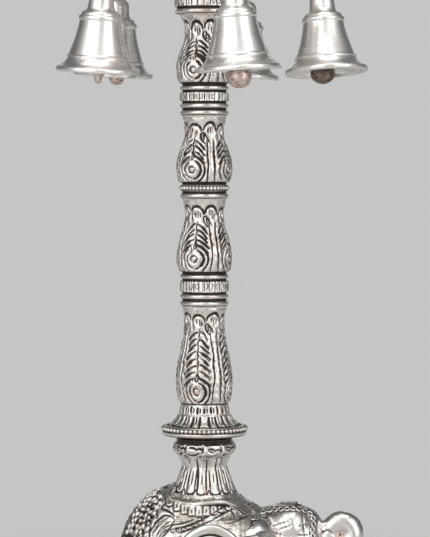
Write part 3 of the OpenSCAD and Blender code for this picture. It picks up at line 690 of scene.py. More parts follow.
piece = turned("saddle_pedestal", pedestal, 7.5, domed)
spots = skin(piece)[0]
theta, r, z = polar(spots)
around = math.tau * pedestal["drawn"]
rng = random.Random(71)
cuts = []
pitch = around / pedestal["tongues"]
for k in range(pedestal["tongues"]):
    x = (k + pedestal["start"]) * pitch + rng.uniform(-0.25, 0.25)
    end = low + 4.4 + rng.uniform(-0.5, 0.5)
    wide, tip = pitch * rng.uniform(0.30, 0.38), (k + 0.85) * pitch
    for side in (-1, 1):
        top = x + 1.05 * side * wide, waist + rng.uniform(-1.6, 1.2)
        edge = x + side * wide
        cuts.append(bowCut(top, (edge, waist - 4), (edge, end + 1), rng.uniform(0.26, 0.36)))
        leaf = tip + side * 0.3 * pitch
        pull = tip + side * 0.2 * pitch, end - 0.4
        cuts.append(bowCut((tip, end + 1.6), pull, (leaf, low + 3.2), 0.26))
    cuts.append(arcCut(x, end + 1.1, wide, 1.3, 190, 350, 0.28))
    top, foot = waist - rng.uniform(0.5, 3), end + rng.uniform(2.2, 5)
    cuts.append(bowCut((x, top), (x, waist - 4), (x, foot), 0.2))
pitch = around / pedestal["cuts"]
for k in range(pedestal["cuts"]):
    x, top = k * pitch + rng.uniform(-0.7, 0.7), collar - rng.uniform(0.2, 1.2)
    foot = top - rng.choice(pedestal["cutLengths"])
    end = x + rng.uniform(-0.3, 0.3), foot
    cuts.append(bowCut((x, top), (x + 0.1, (top + foot) / 2), end, rng.uniform(0.18, 0.34)))
pitch = around / pedestal["scrolls"]
for k in range(pedestal["scrolls"]):
    x, way = k * pitch + rng.uniform(-0.5, 0.5), rng.choice((-1, 1, 1)) * pitch
    sink, wide = collar + rng.uniform(-0.3, 0.4), rng.uniform(0.28, 0.38)
    strokes = [((-0.5, 0.7), (-0.1, -0.3), (0.22, 1.5), wide), ((-0.32, 3.4), (-0.05, 4), (0.12, 2.6), 0.28),
               ((0.42, 4.2), (0.45, 3), (0.43, 2), 0.26)]
    if rng.random() < 0.6:
        strokes.append(((-0.3, 3.2), (-0.2, 2.2), (0, 2.1), 0.22))
    for *points, width in strokes:
        cuts.append(bowCut(*((x + share * way, sink + rise) for share, rise in points), width))
    cuts.append(arcCut(x + 0.25 * way, sink + 2.2, 0.17 * way, 1.1, -60, 170, wide - 0.04))
lift, oxide = chased(turnedGap(theta, r, z, cuts, pedestal["drawn"]), 0.34, 0.2)
field = fade(z, low + 2.3, low + 2.9) * fade(z, high - 1.4, high - 2.0) * (r > 7.8)
ledge = fade(z, low + 2.6, low + 2.2) * fade(z, low + 1.7, low + 2.0)
# shelf is painted shade on the top rim, shaded by the skirt's overhang, joined with the dark ledge near the
# foot
shelf = np.maximum(fade(z, high - 0.7, high - 0.1), ledge) * (r > 7)
dents = pedestal["dents"] * uneven(spots, 4, 9)
carve(piece, (lift + dents) * field, np.maximum(oxide * field, 0.6 * shelf))


# Bells, each with its own hanging axis

print("stage: bells")
bell = {"turns": 128, "step": 0.7, "mouthDrop": 20.2, "crown": 23.5, "ridge": 5.0, "dent": 0.035,
        "inside": 0.3}
for n in range(1, 6):
    hook, pivot = (Vector(joints[name]["pos_m"]) for name in (f"bell_{n}_sway", f"clapper_{n}_swing"))
    axis = (hook - pivot).normalized()
    upright = axis.to_track_quat("Z", "Y").to_matrix().to_4x4()
    place = Matrix.Translation(pivot - axis * bell["mouthDrop"] * mm) @ upright
    line, closed = turnedLoop(f"bell_{n}", place.inverted())
    bm = spun(refined(line, closed, bell["step"], 1.0), closed, bell["turns"], place)
    piece = addPiece(f"spun_bell_{n}", bm, "bell_silver", f"bell_{n}", [f"bell_{n}"])
    spots, normals = skin(piece)
    local = np.array(place.inverted().to_3x3()) @ (spots.T - np.array(place.translation)[:, None] / mm)
    theta, _, z = polar(local.T)
    away = np.column_stack([np.cos(theta), np.sin(theta), 0 * z])
    outward = np.einsum("ij,ij->i", normals @ np.array(place.to_3x3()), away)
    inner = fade(outward, 0.05, -0.15) * (z < bell["crown"])
    lift = bell["dent"] * np.sin(3 * theta + n + 0.2 * z) * np.sin(0.33 * z + 2 * n) * (outward > 0.1)
    ridge = 0.5 * fade(np.abs(z - bell["ridge"]), 0.35, 0.1) * (outward > 0)
    carve(piece, lift, np.maximum(bell["inside"] * inner, ridge))


# Clappers: each bell has its own, cast by hand, so no two are alike. Outlines are radius and height

print("stage: clappers")
clapper = {"turns": 48, "ball": 4.4, "loop": 1.9, "wire": 0.6, "rough": 0.12, "iron": (1,), "outlines": {
    1: ((0.6, 6.0), (1.6, 4.6), (3.4, 3.2), (4.4, 0.4), (4.0, -2.0), (2.6, -3.5), (0, -4.3)),
    2: ((0.6, 5.6), (1.4, 4.4), (3.2, 2.8), (3.9, 0.2), (3.4, -2.2), (1.9, -3.8), (0, -4.3)),
    3: ((0.6, 4.0), (1.3, 2.6), (2.4, 1.4), (2.9, -0.6), (2.5, -2.2), (1.5, -3.2), (0, -3.6)),
    4: ((0.6, 5.4), (2.2, 4.2), (3.2, 1.8), (2.7, -0.4), (1.5, -2.0), (1.2, -3.2), (0.9, -4.1), (0, -4.4)),
    5: ((0.6, 5.0), (1.6, 3.6), (3.3, 1.8), (4.3, -1.2), (4.0, -3.8), (2.5, -5.8), (0, -6.6)),
}}


def ringLine(radius, wire, parts=12):
    turns = [math.tau * k / parts for k in range(parts)]
    return [Vector((radius + wire * math.cos(turn), wire * math.sin(turn))) for turn in turns]


def addTo(bm, other):
    draft = bpy.data.meshes.new("draft")
    other.to_mesh(draft)
    other.free()
    bm.from_mesh(draft)
    bpy.data.meshes.remove(draft)


for n, outline in clapper["outlines"].items():
    node, swing = f"clapper_{n}", joints[f"clapper_{n}_swing"]
    low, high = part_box(node)
    pivot, middle = Vector(swing["pos_m"]), (low + high) / 2
    middle.z = low.z + clapper["ball"] * mm
    upright, across = (pivot - middle).normalized(), Vector(swing["axis"]).normalized()
    sideways = across.cross(upright).normalized()
    place = Matrix((sideways, upright.cross(sideways), upright)).transposed().to_4x4()
    place.translation = middle
    length, loop, wire = (pivot - middle).length / mm, clapper["loop"], clapper["wire"]
    stem = (0, length - 2 * loop), (wire, length - 2 * loop)
    line = [Vector(point) for point in (*stem, *outline)]
    bm = spun(refined(line, False, 0.3, 0, 60), False, clapper["turns"], place)
    eye = Matrix.Translation((0, 0, (length - loop) * mm)) @ Matrix.Rotation(math.radians(90), 4, "Y")
    addTo(bm, spun(ringLine(loop, wire), True, clapper["turns"], place @ eye))
    material = "clapper_iron" if n in clapper["iron"] else "clapper_brass"
    piece = addPiece(f"cast_clapper_{n}", bm, material, node, [node])
    spots = skin(piece)[0]
    bulb = fade(np.linalg.norm(spots - np.array(pivot) / mm, axis=1), length - 5.5, length - 4)
    pits = uneven(spots, 1.4, 30 + n)
    carve(piece, clapper["rough"] * bulb * pits, 0.9 * bulb * fade(pits, -0.15, -0.45))


# Elephant: fused from plain forms, then dressed with a cloth, a head cap, cords and beads.
# A form is its place and its three radii, a chain is places with a radius each, in millimetres

print("stage: elephant")
elephant = {
    "bodyCell": 0.66, "headCell": 0.42, "clothCell": 0.34,
    "clothThick": 0.7, "clothHem": 55, "clothFront": 21.4,
    "barrel": ((-3.5, 0, 64), (27.5, 22, 27)),
    "flanks": (((-3.5, 5, 64), (27, 17.5, 25.5)), ((-15.5, 10, 57), (13.5, 11, 17)),
               ((10.5, 9.5, 57), (12.5, 11, 16)), ((3, 11, 66), (12, 9, 19.2))),
    "belly": ((-3, 0, 52), (21, 18, 15)),
    "withers": ((15, 0, 77.7), (6.2, 9, 5.6)),
    "neck": ((4, 0, 66, 17), (12, 0, 67, 14), (19, 0, 68.5, 12.4), (26, 0, 68.5, 11)),
    "tail": ((-29.1, 0, 68, 2.3), (-32, 0, 59, 1.9), (-30.6, 0, 46.5, 1.6), (-30.2, 0, 40, 1.7)),
    "tuft": ((-30.2, 0, 37.6), (2.4, 2.2, 4.2)),
}
# A leg's chain: ahead of the foot, share of the foot's y, height, radius
leg = {"feet": ((12, 12.5), (-17, 12.5)), "footZ": 12, "sole": (9.9, 9.5), "soleDeep": 4,
       "chain": ((0, 0.85, 54, 11.8), (0, 1, 38, 9.6), (0.6, 1, 26, 8.7), (0, 1, 16, 9.2)),
       "toes": (-66, -22, 22, 66), "toeTurn": 12, "toeOut": 9.3, "toeZ": 14, "toe": (1.3, 1.7, 2.2)}
# Where the column sits. rear and front are angles from the tail
seat = {"z": 84, "sink": 0.1, "radius": 14.3, "wide": 5, "slope": 0.6, "rear": (45, 20), "rearIn": 3.8,
        "rearSlope": 8, "front": (115, 145), "frontIn": 2.2, "frontSlope": 2}


def ballMesh(parts):
    bm = bmesh.new()
    bmesh.ops.create_uvsphere(bm, u_segments=parts, v_segments=parts // 2, radius=1)
    mesh = bpy.data.meshes.new("ball")
    bm.to_mesh(mesh)
    bm.free()
    return mesh


balls = {"fine": ballMesh(48), "link": ballMesh(20), "bead": ballMesh(10)}


def blob(bm, place, radii, grow=0, ball="fine", turn=Matrix()):
    copy = balls[ball].copy()
    size = Matrix.Diagonal([*((radius + grow) * mm for radius in radii), 1])
    copy.transform(Matrix.Translation(Vector(place) * mm) @ turn @ size)
    bm.from_mesh(copy)
    bpy.data.meshes.remove(copy)


def chain(bm, stops, grow=0, links=7):
    for (*here, thick), (*there, thin) in zip(stops, stops[1:]):
        for t in (k / links for k in range(links + 1)):
            radius = thick + (thin - thick) * t
            blob(bm, Vector(here).lerp(Vector(there), t), (radius,) * 3, grow, "link")


def onSide(side, place):
    return place[0], side * place[1], *place[2:]


def fused(bm, cell, smooth):
    draft = bpy.data.meshes.new("draft")
    bm.to_mesh(draft)
    bm.free()
    holder = bpy.data.objects.new("draft", draft)
    scene.collection.objects.link(holder)
    fuse = holder.modifiers.new("fuse", "REMESH")
    fuse.mode = "VOXEL"
    fuse.voxel_size = cell * mm
    soften = holder.modifiers.new("soften", "SMOOTH")
    soften.factor = 0.5
    soften.iterations = smooth
    made = bmesh.new()
    made.from_object(holder, bpy.context.evaluated_depsgraph_get())
    bpy.data.objects.remove(holder)
    bpy.data.meshes.remove(draft)
    return made


def sliced(bm, place, away):
    geom = bm.verts[:] + bm.edges[:] + bm.faces[:]
    bmesh.ops.bisect_plane(bm, geom=geom, plane_co=Vector(place) * mm, plane_no=away, clear_outer=True)
    bmesh.ops.holes_fill(bm, edges=[edge for edge in bm.edges if edge.is_boundary])


# Flattens the back under the column, with a slope that is steeper at the rear and the front
def seated(bm):
    for vert in bm.verts:
        turn = abs(math.degrees(math.atan2(vert.co.y, -vert.co.x)))
        rear, front = fade(turn, *seat["rear"]), fade(turn, *seat["front"])
        out = math.hypot(vert.co.x, vert.co.y) / mm - seat["radius"]
        out += seat["rearIn"] * rear + seat["frontIn"] * front
        rise = seat["slope"] + seat["rearSlope"] * rear + seat["frontSlope"] * front
        top = seat["z"] - seat["sink"] + max(0, out) * rise
        if vert.co.z > top * mm and out < seat["wide"]:
            vert.co.z = top * mm


def bodyShapes(bm, grow):
    blob(bm, *elephant["barrel"], grow)
    for side in (-1, 1):
        for place, radii in elephant["flanks"]:
            blob(bm, onSide(side, place), radii, grow)
    blob(bm, *elephant["belly"], grow)
    blob(bm, *elephant["withers"], grow)
    chain(bm, elephant["neck"], grow)


bm = bmesh.new()
bodyShapes(bm, 0)
for x, y in leg["feet"]:
    for side in (-1, 1):
        chain(bm, [(x + ahead, side * y * share, z, radius) for ahead, share, z, radius in leg["chain"]])
        sole = Matrix.Translation(Vector((x, side * y, leg["footZ"] + 1)) * mm)
        wide, narrow = (radius * mm for radius in leg["sole"])
        bmesh.ops.create_cone(bm, cap_ends=True, segments=40, radius1=wide, radius2=narrow,
                              depth=leg["soleDeep"] * mm, matrix=sole)
        for turn in leg["toes"]:
            angle = math.radians(turn + leg["toeTurn"] * side)
            toeX, toeY = x + leg["toeOut"] * math.cos(angle), side * y + leg["toeOut"] * math.sin(angle)
            blob(bm, (toeX, toeY, leg["toeZ"]), leg["toe"])
chain(bm, elephant["tail"])
blob(bm, *elephant["tuft"])
bm = fused(bm, elephant["bodyCell"], 10)
seated(bm)
sliced(bm, (0, 0, leg["footZ"]), (0, 0, -1))
body = elephantPiece("elephant_body", bm, "elephant_silver", ["elephant"])
spots = skin(body)[0]
rng = random.Random(81)
creases = []
for x, y in leg["feet"]:
    for z in np.arange(27, 50, 2.1):
        start, length, sag = x + rng.uniform(-9, -1), rng.uniform(4, 10), rng.uniform(0.2, 1)
        end = start + length, z + 0.3
        creases.append(bowCut((start, z), (start + length / 2, z - sag), end, rng.uniform(0.14, 0.24)))
gap = lineGap(spots[:, 0], spots[:, 2], creases)
legs = fade(spots[:, 2], 25.5, 27) * fade(spots[:, 2], 50, 47)
dents = 0.3 * uneven(spots, 9, 4) - 0.16 * legs * fade(gap, 0.3, -0.1)
carve(body, dents, 0.6 * legs * fade(gap, 0.15, -0.1))

bm = bmesh.new()
bodyShapes(bm, elephant["clothThick"])
bm = fused(bm, elephant["clothCell"], 8)
seated(bm)
sliced(bm, (0, 0, elephant["clothHem"]), (0, 0, -1))
sliced(bm, (elephant["clothFront"], 0, 0), (1, 0, 0))
cloth = elephantPiece("saddle_cloth", bm, "elephant_silver")

skull = {
    "middle": (((33, 0, 68), (12.2, 12.6, 14)), ((36, 0, 73.8), (7.8, 8, 8.4))),
    "sides": (((31.3, 4.6, 75.5), (7.8, 7.6, 7.6)), ((36, 6, 62), (8, 6.5, 9))),
    "shoulder": ((18, 8, 66.5), (12, 11.5, 13)),
    "jaw": ((37.5, 0, 57), (6.5, 6, 6.5)),
    "nape": ((14, 0, 67.6, 12.0), (19, 0, 68, 12.8), (26, 0, 68.8, 13.2)),
    "crown": ((28, 0, 72), (9.5, 10, 10.6)),
}
web = {"turns": (-56, 44), "ribs": 15, "edge": (2.2, 25.6, 64.4), "reach": (11.4, 12.9),
       "radii": (2.6, 1.5, 1.0)}
trunk = {"chain": ((40, 0, 64, 8.4), (42.7, 0, 57, 6.4), (45.6, 0, 51.4, 5.4), (50.4, 0, 49.4, 4.9),
                   (54.8, 0, 51.8, 4.6), (56.0, 0, 57, 4.3), (55.6, 0, 63, 4.3)),
         "curl": (50.4, 72), "curlOut": 4.4, "curlTurns": range(-40, 221, 26), "tip": (4.3, 3.4)}
bm = bmesh.new()
for place, radii in skull["middle"]:
    blob(bm, place, radii)
for side in (-1, 1):
    for place, radii in skull["sides"]:
        blob(bm, onSide(side, place), radii)
    for turn in np.radians(np.linspace(*web["turns"], web["ribs"])):  # skin between the head and the ear
        edgeX, edgeZ = web["reach"][0] * math.cos(turn), web["reach"][1] * math.sin(turn)
        rib = ((25, 10.4, 66.5 + 8 * turn), (18.6, 20.8, 65.6 + 10.5 * turn),
               (web["edge"][0] + edgeX, web["edge"][1], web["edge"][2] + edgeZ))
        chain(bm, [(*onSide(side, place), radius) for place, radius in zip(rib, web["radii"])], 0, 8)
    blob(bm, onSide(side, skull["shoulder"][0]), skull["shoulder"][1])
blob(bm, *skull["jaw"])
chain(bm, skull["nape"])
blob(bm, *skull["crown"])
curl = []
curlX, curlZ = trunk["curl"]
for turn, radius in zip(trunk["curlTurns"], np.linspace(*trunk["tip"], len(trunk["curlTurns"]))):
    ahead, up = (trunk["curlOut"] * wave(math.radians(turn)) for wave in (math.cos, math.sin))
    curl.append((curlX + ahead, 0, curlZ + up, radius))
chain(bm, [*trunk["chain"], *curl])
bm = fused(bm, elephant["headCell"], 10)
head = elephantPiece("elephant_head", bm)


# Patterns are drawn on the plane through the column, as the camera sees it, and fall on both flanks alike

def seenAt(spots):
    eyeX, eyeY, eyeZ = shot["camera"]
    t = eyeY / (eyeY + np.abs(spots[:, 1]))
    return eyeX + (spots[:, 0] - eyeX) * t, eyeZ + (spots[:, 2] - eyeZ) * t


ringRoute = np.array([(-15, 86.3), (-12.1, 84.3), (-9, 82.8), (-5.9, 82), (-2.5, 81.8), (1.4, 82.5),
                      (5.3, 83.6), (8.2, 84.6)])
hatchEdge = np.array([(5, 83), (9.6, 80), (12, 77.6), (15, 77.6), (18, 79.4), (22, 80.6)])
capRoute = [(17.3, 77.0), (19.4, 79.0), (22, 80.1), (25, 80.7), (28.6, 81.0), (32, 81.1), (35.2, 80.9),
            (37.8, 80.2), (39.6, 78.7), (40.4, 76.6), (40.0, 74.6), (39.6, 72.6), (40.0, 70.6)]
leafOutline = [(-20.6, 70.8), (-20.0, 73), (-18.0, 76.4), (-14.8, 78.8), (-12.4, 78.5), (-11.0, 77.2)]
clothStrokes = (
    ((-11.0, 77.2), (-12.8, 73.4), (-16.6, 69.8), 0.24, 12),  # lower edge and veins of the leaf
    ((-19.3, 71.6), (-17.6, 76.4), (-13.6, 77.9), 0.17),
    ((-17.8, 71.0), (-15.6, 75.4), (-12.1, 76.7), 0.17),
    ((-16.3, 72.4), (-14.4, 75.0), (-12.4, 75.2), 0.17),
    ((-16.9, 70.2), (-14.8, 73.2), (-13.2, 73.8), 0.17),
    ((-15.9, 81.2), (-13.2, 80.8), (-11.2, 78.5), 0.42),  # folds behind the saddle
    ((-14.6, 83.4), (-15.6, 82.4), (-15.9, 81.2), 0.3),
    ((-18.2, 83.0), (-17.4, 79.5), (-17.6, 77.6), 0.36),
    ((-20.3, 80.4), (-20.0, 76), (-20.4, 70), 0.38),
    ((-21.6, 78.2), (-21.2, 74), (-21.8, 69), 0.24),
    ((-22.8, 78), (-22.4, 73), (-23.2, 69), 0.3),
    ((-12.2, 75.4), (-8, 75.0), (-3.9, 77.4), 0.26, 10),  # bands that rise towards the neck
    ((-11.2, 73.8), (-5.5, 74.2), (1.4, 78.4), 0.3, 12),
    ((-9.8, 72.0), (-4, 73.6), (3.6, 77.3), 0.26, 12),
    ((3.6, 77.5), (6.5, 79.4), (9.6, 80.7), 0.3),  # tip of the cloth at the neck
    ((9.6, 80.7), (10.6, 79.8), (11.3, 78.2), 0.28),
    ((2.4, 79.0), (5, 80.6), (7.2, 82.2), 0.22),
    ((9.2, 75.8), (13, 77.0), (17.7, 79.3), 0.2),
)


def clothCuts():
    cuts = [(leafOutline, 0.28), *(bowCut(*stroke) for stroke in clothStrokes)]
    for x in np.arange(-14.4, 8, 2.75):  # tongues below the saddle ring
        top = np.interp(x, *ringRoute.T)
        cuts.append(bowCut((x, top), (x, top - 2), (x + 0.1, top - 3.2), 0.22))
        cuts.append(arcCut(x + 1.37, top - 3.0, 1.37, 0.8, 185, 355, 0.27, 6))
        cuts.append(bowCut((x + 1.37, top - 1.0), (x + 1.5, top - 1.8), (x + 1.37, top - 2.4), 0.13))
    for k in range(5):  # thin veins in the leaf, then thin lines at the neck
        pull, end = (-17.6 + 1.2 * k, 76.8 - 0.9 * k), (-14.6 + 0.7 * k, 78.2 - 0.8 * k)
        cuts.append(bowCut((-19.9 + 1.2 * k, 72.8 - 0.4 * k), pull, end, 0.11))
        pull, end = (7.4 + 1.5 * k, 77.6), (10.6 + 1.3 * k, 79.6 - 0.2 * k)
        cuts.append(bowCut((4.4 + 1.5 * k, 76.6 + 0.1 * k), pull, end, 0.15))
    for k in range(7):
        cuts.append(arcCut(-11.8 + 1.9 * k, 73.0 + 0.12 * k * k, 0.72, 0.66, 20, 340, 0.2, 9))
    for k in range(34):  # punched dots
        x, z = -10.4 + 0.74 * (k % 12), 77.9 - 0.75 * (k // 12) + 0.05 * (k % 12)
        cuts.append(bowCut((x, z), (x + 0.15, z), (x + 0.3, z - 0.1), 0.16, 2))
    for x in np.arange(-32, 18, 3.2):  # scallops along the hem
        cuts.append(arcCut(x, 58.6, 1.6, 2.2, 5, 175, 0.24, 8))
        cuts.append(arcCut(x, 58.4, 0.6, 0.8, 0, 350, 0.16, 8))
        cuts.append(arcCut(x + 1.6, 66.8, 1.5, 1.7, 200, 340, 0.22, 8))
    for level in (61.4, 65.4):
        cuts.append(bowCut((-34, level), (-10, level - 0.4), (18, level), 0.2, 20))
    return cuts


def hatching(spots, x, z):
    slant = math.tau * (0.53 * x + 0.85 * z) / 0.95
    wave = np.sin(slant + 4 * uneven(spots, 3, 22)) + 2.4 * uneven(spots, 1.4, 23)
    inside = fade(z - np.interp(x, *hatchEdge.T), -0.3, 0.4) * fade(x, 4.5, 6.5) * fade(x, 23, 21)
    return -0.16 * fade(wave, 0.1, 0.9) * inside, 0.85 * fade(wave, 0.15, 0.9) * inside


spots = skin(cloth)[0]
x, z = seenAt(spots)
lift, oxide = chased(lineGap(x, z, clothCuts()), 0.32, 0.24)
hatchLift, hatchDark = hatching(spots, x, z)
hem, front = elephant["clothHem"], elephant["clothFront"]
field = fade(spots[:, 2], hem + 0.1, hem + 0.6) * fade(spots[:, 0], front - 0.1, front - 0.7)
rear = fade(x + 0.45 * (83 - z), -15.2, -16.8) * fade(z, 69, 71)
blotch = 0.45 + 0.55 * fade(uneven(spots, 2.4, 12), -0.12, 0.1)
dents = 0.22 * uneven(spots, 5, 6) + 0.12 * uneven(spots, 1.5, 16) - 0.3 * rear * blotch
stain = 0.5 * fade(uneven(spots, 1.9, 26), 0.0, 0.4)
oxide = np.max([oxide, hatchDark, stain], 0) * field
carve(cloth, (lift + hatchLift + dents) * field, np.maximum(oxide, 0.9 * rear * blotch))


headFolds = (((27.5, 73.3), (31.7, 74.7)), ((25.4, 75.0), (31.4, 76.5)), ((34.9, 74.7), (39.1, 75.7)),
             ((24.4, 72.4), (28.6, 71.6)), ((33.4, 71.2), (38.6, 71.5)))


def headCuts():
    cuts = []
    for (x0, z0), (x1, z1) in headFolds:
        cuts.append(bowCut((x0, z0), ((x0 + x1) / 2, (z0 + z1) / 2 + 0.3), (x1, z1), 0.17))
    cuts.append(bowCut((36.3, 78.9), (36.6, 75), (37.1, 70), 0.18))
    for x, z, start in ((16.6, 75.0, 20), (19.2, 76.0, 30), (21.8, 77.2, 40), (24.2, 78.4, 40)):
        cuts.append(arcCut(x, z, 1.4, 0.9, start, start + 190, 0.26))
    cuts.append(arcCut(45.3, 71.4, 2.1, 1.7, 20, 165, 0.26))
    for z in np.arange(50, 69, 2.3):  # folds of the trunk
        cuts.append(bowCut((44.2 + abs(z - 54) * 0.1, z), (50, z + 0.9), (60, z + 0.6), 0.17))
    return cuts


spots = skin(head)[0]
x, z = seenAt(spots)
lift, oxide = chased(lineGap(x, z, headCuts()), 0.26, 0.1)
hatchLift, hatchDark = hatching(spots, x, z)
capDark = 0.8 * fade(lineGap(x, z, [(capRoute, 0.2)], reach=2.5), 1.5, 0.6)
carve(head, lift + hatchLift + 0.2 * uneven(spots, 7, 5), np.max([oxide, hatchDark, capDark], 0))


# Ears: a broad smooth rim, a groove, an inner band and a dark hollow with thin folds.
# The rim runs out into the head in front, and the lower half narrows to a lobe

print("stage: ears, tusks and eyes")
ear = {"at": (2.2, 26.4, 64.4), "radius": 13.4, "tall": 1.13, "turns": 128, "groove": 10.1,
       "folds": 6, "foldOut": 6.4, "root": 0.2,
       "lobe": 0.34, "lobeAhead": 1.4, "lobeIn": 1.6, "lobeDrop": 2.4,
       "outline": ((0, -1.2), (8, -1.3), (12.6, -1.1), (13.4, 0), (13.3, 0.7), (12.7, 1.35), (11.8, 1.55),
                   (11, 1.25), (10.5, 0.7), (10.3, 0.25), (9.9, 0.2), (9.6, 0.55), (9, 0.95), (8.2, 0.95),
                   (7.6, 0.5), (7.3, -0.1), (6.8, -0.5), (0, -0.6))}
tusk = ((41, 7.2, 58.2, 2.3), (46, 8.6, 55.8, 1.8), (52, 9.6, 58.0, 0.8))
eyes = (((42.2, 9.0, 66.6), (1.5, 0.9, 1.1)), ((42.2, 8.7, 66.6), (2.2, 0.8, 1.6)))
earLine = refined([Vector(point) for point in ear["outline"]], False, 0.4, 0)
folds = []
for k in range(ear["folds"]):
    turn = math.radians(115 + 130 * k / (ear["folds"] - 1))
    tip = ear["foldOut"] * math.cos(turn), ear["foldOut"] * math.sin(turn)
    folds.append(bowCut((6, 0.3 * tip[1]), (1.5, 0.8 * tip[1]), tip, 0.22))
earX, earY, earZ = ear["at"]
for side, which in ((-1, "left"), (1, "right")):
    facing = Matrix.Rotation(math.radians(-90 * side), 4, "X")
    place = Matrix.Translation(Vector((earX, side * earY, earZ)) * mm)
    tall = Matrix.Diagonal((1, 1, ear["tall"], 1))
    piece = elephantPiece("ear_" + which, spun(earLine, False, ear["turns"], place @ tall @ facing))
    spots, normals = skin(piece)
    across, up = spots[:, 0] - earX, (spots[:, 2] - earZ) / ear["tall"]
    out = np.hypot(across, up)
    front = normals[:, 1] * side > 0
    rooted = fade(across / np.maximum(out, 0.1), 0.78, 0.95) * fade(out, 2, 6) * front
    hollow = fade(out, 7.6, 6.9) * front
    foldLift, foldDark = chased(lineGap(across, up, folds), 0.3, 0.2)
    groove = fade(np.abs(out - ear["groove"]), 0.5, 0.2) * front
    shade = np.maximum(0.7 * foldDark, 0.2 + 0.55 * fade(out, 4, 6.8)) * hollow
    carve(piece, foldLift * hollow, np.maximum(groove, shade) * (1 - rooted))
    spots = skin(piece)[0]
    spots[:, 1] += (side * (ear["root"] + earY) - spots[:, 1]) * rooted
    low = np.clip((earZ - spots[:, 2]) / ear["radius"] / ear["tall"], 0, None)
    spots[:, 0] += (earX - spots[:, 0]) * ear["lobe"] * low**2 + ear["lobeAhead"] * low
    spots[:, 1] -= side * ear["lobeIn"] * low**2
    spots[:, 2] -= ear["lobeDrop"] * low**2
    moved(piece, spots)

for side, which in ((-1, "left"), (1, "right")):
    bm = bmesh.new()
    chain(bm, [onSide(side, stop) for stop in tusk], 0, 12)
    elephantPiece("tusk_" + which, fused(bm, 0.3, 6))
    bm = bmesh.new()
    for place, radii in eyes:
        blob(bm, onSide(side, place), radii)
    elephantPiece("eye_" + which, bm, "elephant_silver")


# Cords and beads, set where the camera sees them and mirrored to the far side

print("stage: cords and beads")
trim = {"rumpBead": 0.74, "rumpGap": 2.2, "rumpLoose": 0.35, "hemBead": 0.55, "hemGap": 1.6,
        "capCord": 0.36, "capStep": 0.4, "capSwing": 0.65, "capTwist": 4.4,
        "tassel": (0.6, 0.6, 1.4), "tasselGap": 1.7, "tasselDrop": 1.2,
        "ankletZ": 22, "ankletOut": 9.2, "ankletAhead": 0.4, "ankletBeads": 24, "ankletWire": 0.55,
        "ankletHalf": 1.5}
rumpRows = [bowLine((-16.6, 88.0), (-24.5, 84.5), (-28.4, 71)),
            bowLine((-15.9, 85.4), (-20.4, 81.5), (-21.6, 70)),
            bowLine((-18.4, 86.2), (-23.6, 81), (-25.6, 70)),
            bowLine((-16.2, 83.2), (-18.6, 80.4), (-18.9, 77.6)),
            bowLine((-17.4, 87.4), (-24.2, 83), (-27.2, 71)),
            bowLine((-16.8, 86), (-22, 82), (-23.6, 70))]
hemRow = bowLine((-30, 63.4), (-10, 63), (16, 63.4))
tasselRow = bowLine((-31, 55.9), (-10, 55.7), (17, 55.9))


def hitTree(piece):
    bm = bmesh.new()
    bm.from_mesh(piece.data)
    return BVHTree.FromBMesh(bm)


surface = {"cloth": hitTree(cloth), "head": hitTree(head)}


def landed(piece, x, z, side):
    eye = Vector((shot["camera"][0], -side * shot["camera"][1], shot["camera"][2])) * mm
    spot, normal, *_ = surface[piece].ray_cast(eye, (Vector((x, 0, z)) * mm - eye).normalized())
    return (spot, normal) if spot else None


def along(points, gap):
    points = np.asarray(points, float)
    run = np.concatenate([[0], np.cumsum(np.hypot(*np.diff(points, axis=0).T))])
    stops = np.arange(0, run[-1], gap)
    return np.column_stack([np.interp(stops, run, points[:, i]) for i in (0, 1)])


def beadString(name, rows, size, gap, loose=0.0):
    bm = bmesh.new()
    rng = random.Random(90)
    for row in rows:
        for x, z in along(row, gap):
            big, shift = size * (1 + rng.uniform(-loose, loose)), rng.uniform(-loose, loose)
            radii = big * (1 - loose / 2), big * (1 + loose), 0.9 * big
            for side in (-1, 1):
                hit = landed("cloth", x + shift, z, side)
                if hit:
                    spot, normal = hit
                    turn = normal.to_track_quat("Z", "Y").to_matrix().to_4x4()
                    blob(bm, (spot + normal * 0.2 * big * mm) / mm, radii, 0, "bead", turn)
    elephantPiece(name, bm)


def cord(name, rows, size):
    curve = bpy.data.curves.new(name, "CURVE")
    curve.dimensions = "3D"
    curve.bevel_depth = size * mm
    curve.bevel_resolution = 2
    for row in rows:
        for side in (-1, 1):
            hits = [hit for hit in (landed("head", x, z, side) for x, z in row) if hit]
            spline = curve.splines.new("POLY")
            spline.points.add(len(hits) - 1)
            for point, (spot, normal) in zip(spline.points, hits):
                point.co = (*(spot + normal * 0.3 * size * mm), 1)
    holder = bpy.data.objects.new(name, curve)
    scene.collection.objects.link(holder)
    bm = bmesh.new()
    bm.from_mesh(holder.to_mesh())
    bpy.data.objects.remove(holder)
    elephantPiece(name, bm)


beadString("rump_beads", rumpRows, trim["rumpBead"], trim["rumpGap"], trim["rumpLoose"])
beadString("hem_beads", [hemRow], trim["hemBead"], trim["hemGap"])
fine = along(capRoute, trim["capStep"])
square = np.gradient(fine, axis=0)[:, ::-1] * (1, -1)
square /= np.linalg.norm(square, axis=1)[:, None]
twist = np.sin(math.tau * trim["capStep"] * np.arange(len(fine)) / trim["capTwist"])
swing = trim["capSwing"] * twist[:, None] * square
cord("cap_braid", [fine + swing, fine - swing], trim["capCord"])

bm = bmesh.new()
for x, z in along(tasselRow, trim["tasselGap"]):
    for side in (-1, 1):
        hit = landed("cloth", x, z, side)
        if hit:
            blob(bm, hit[0] / mm - Vector((0, 0, trim["tasselDrop"])), trim["tassel"], 0, "bead")
elephantPiece("hem_tassels", bm)

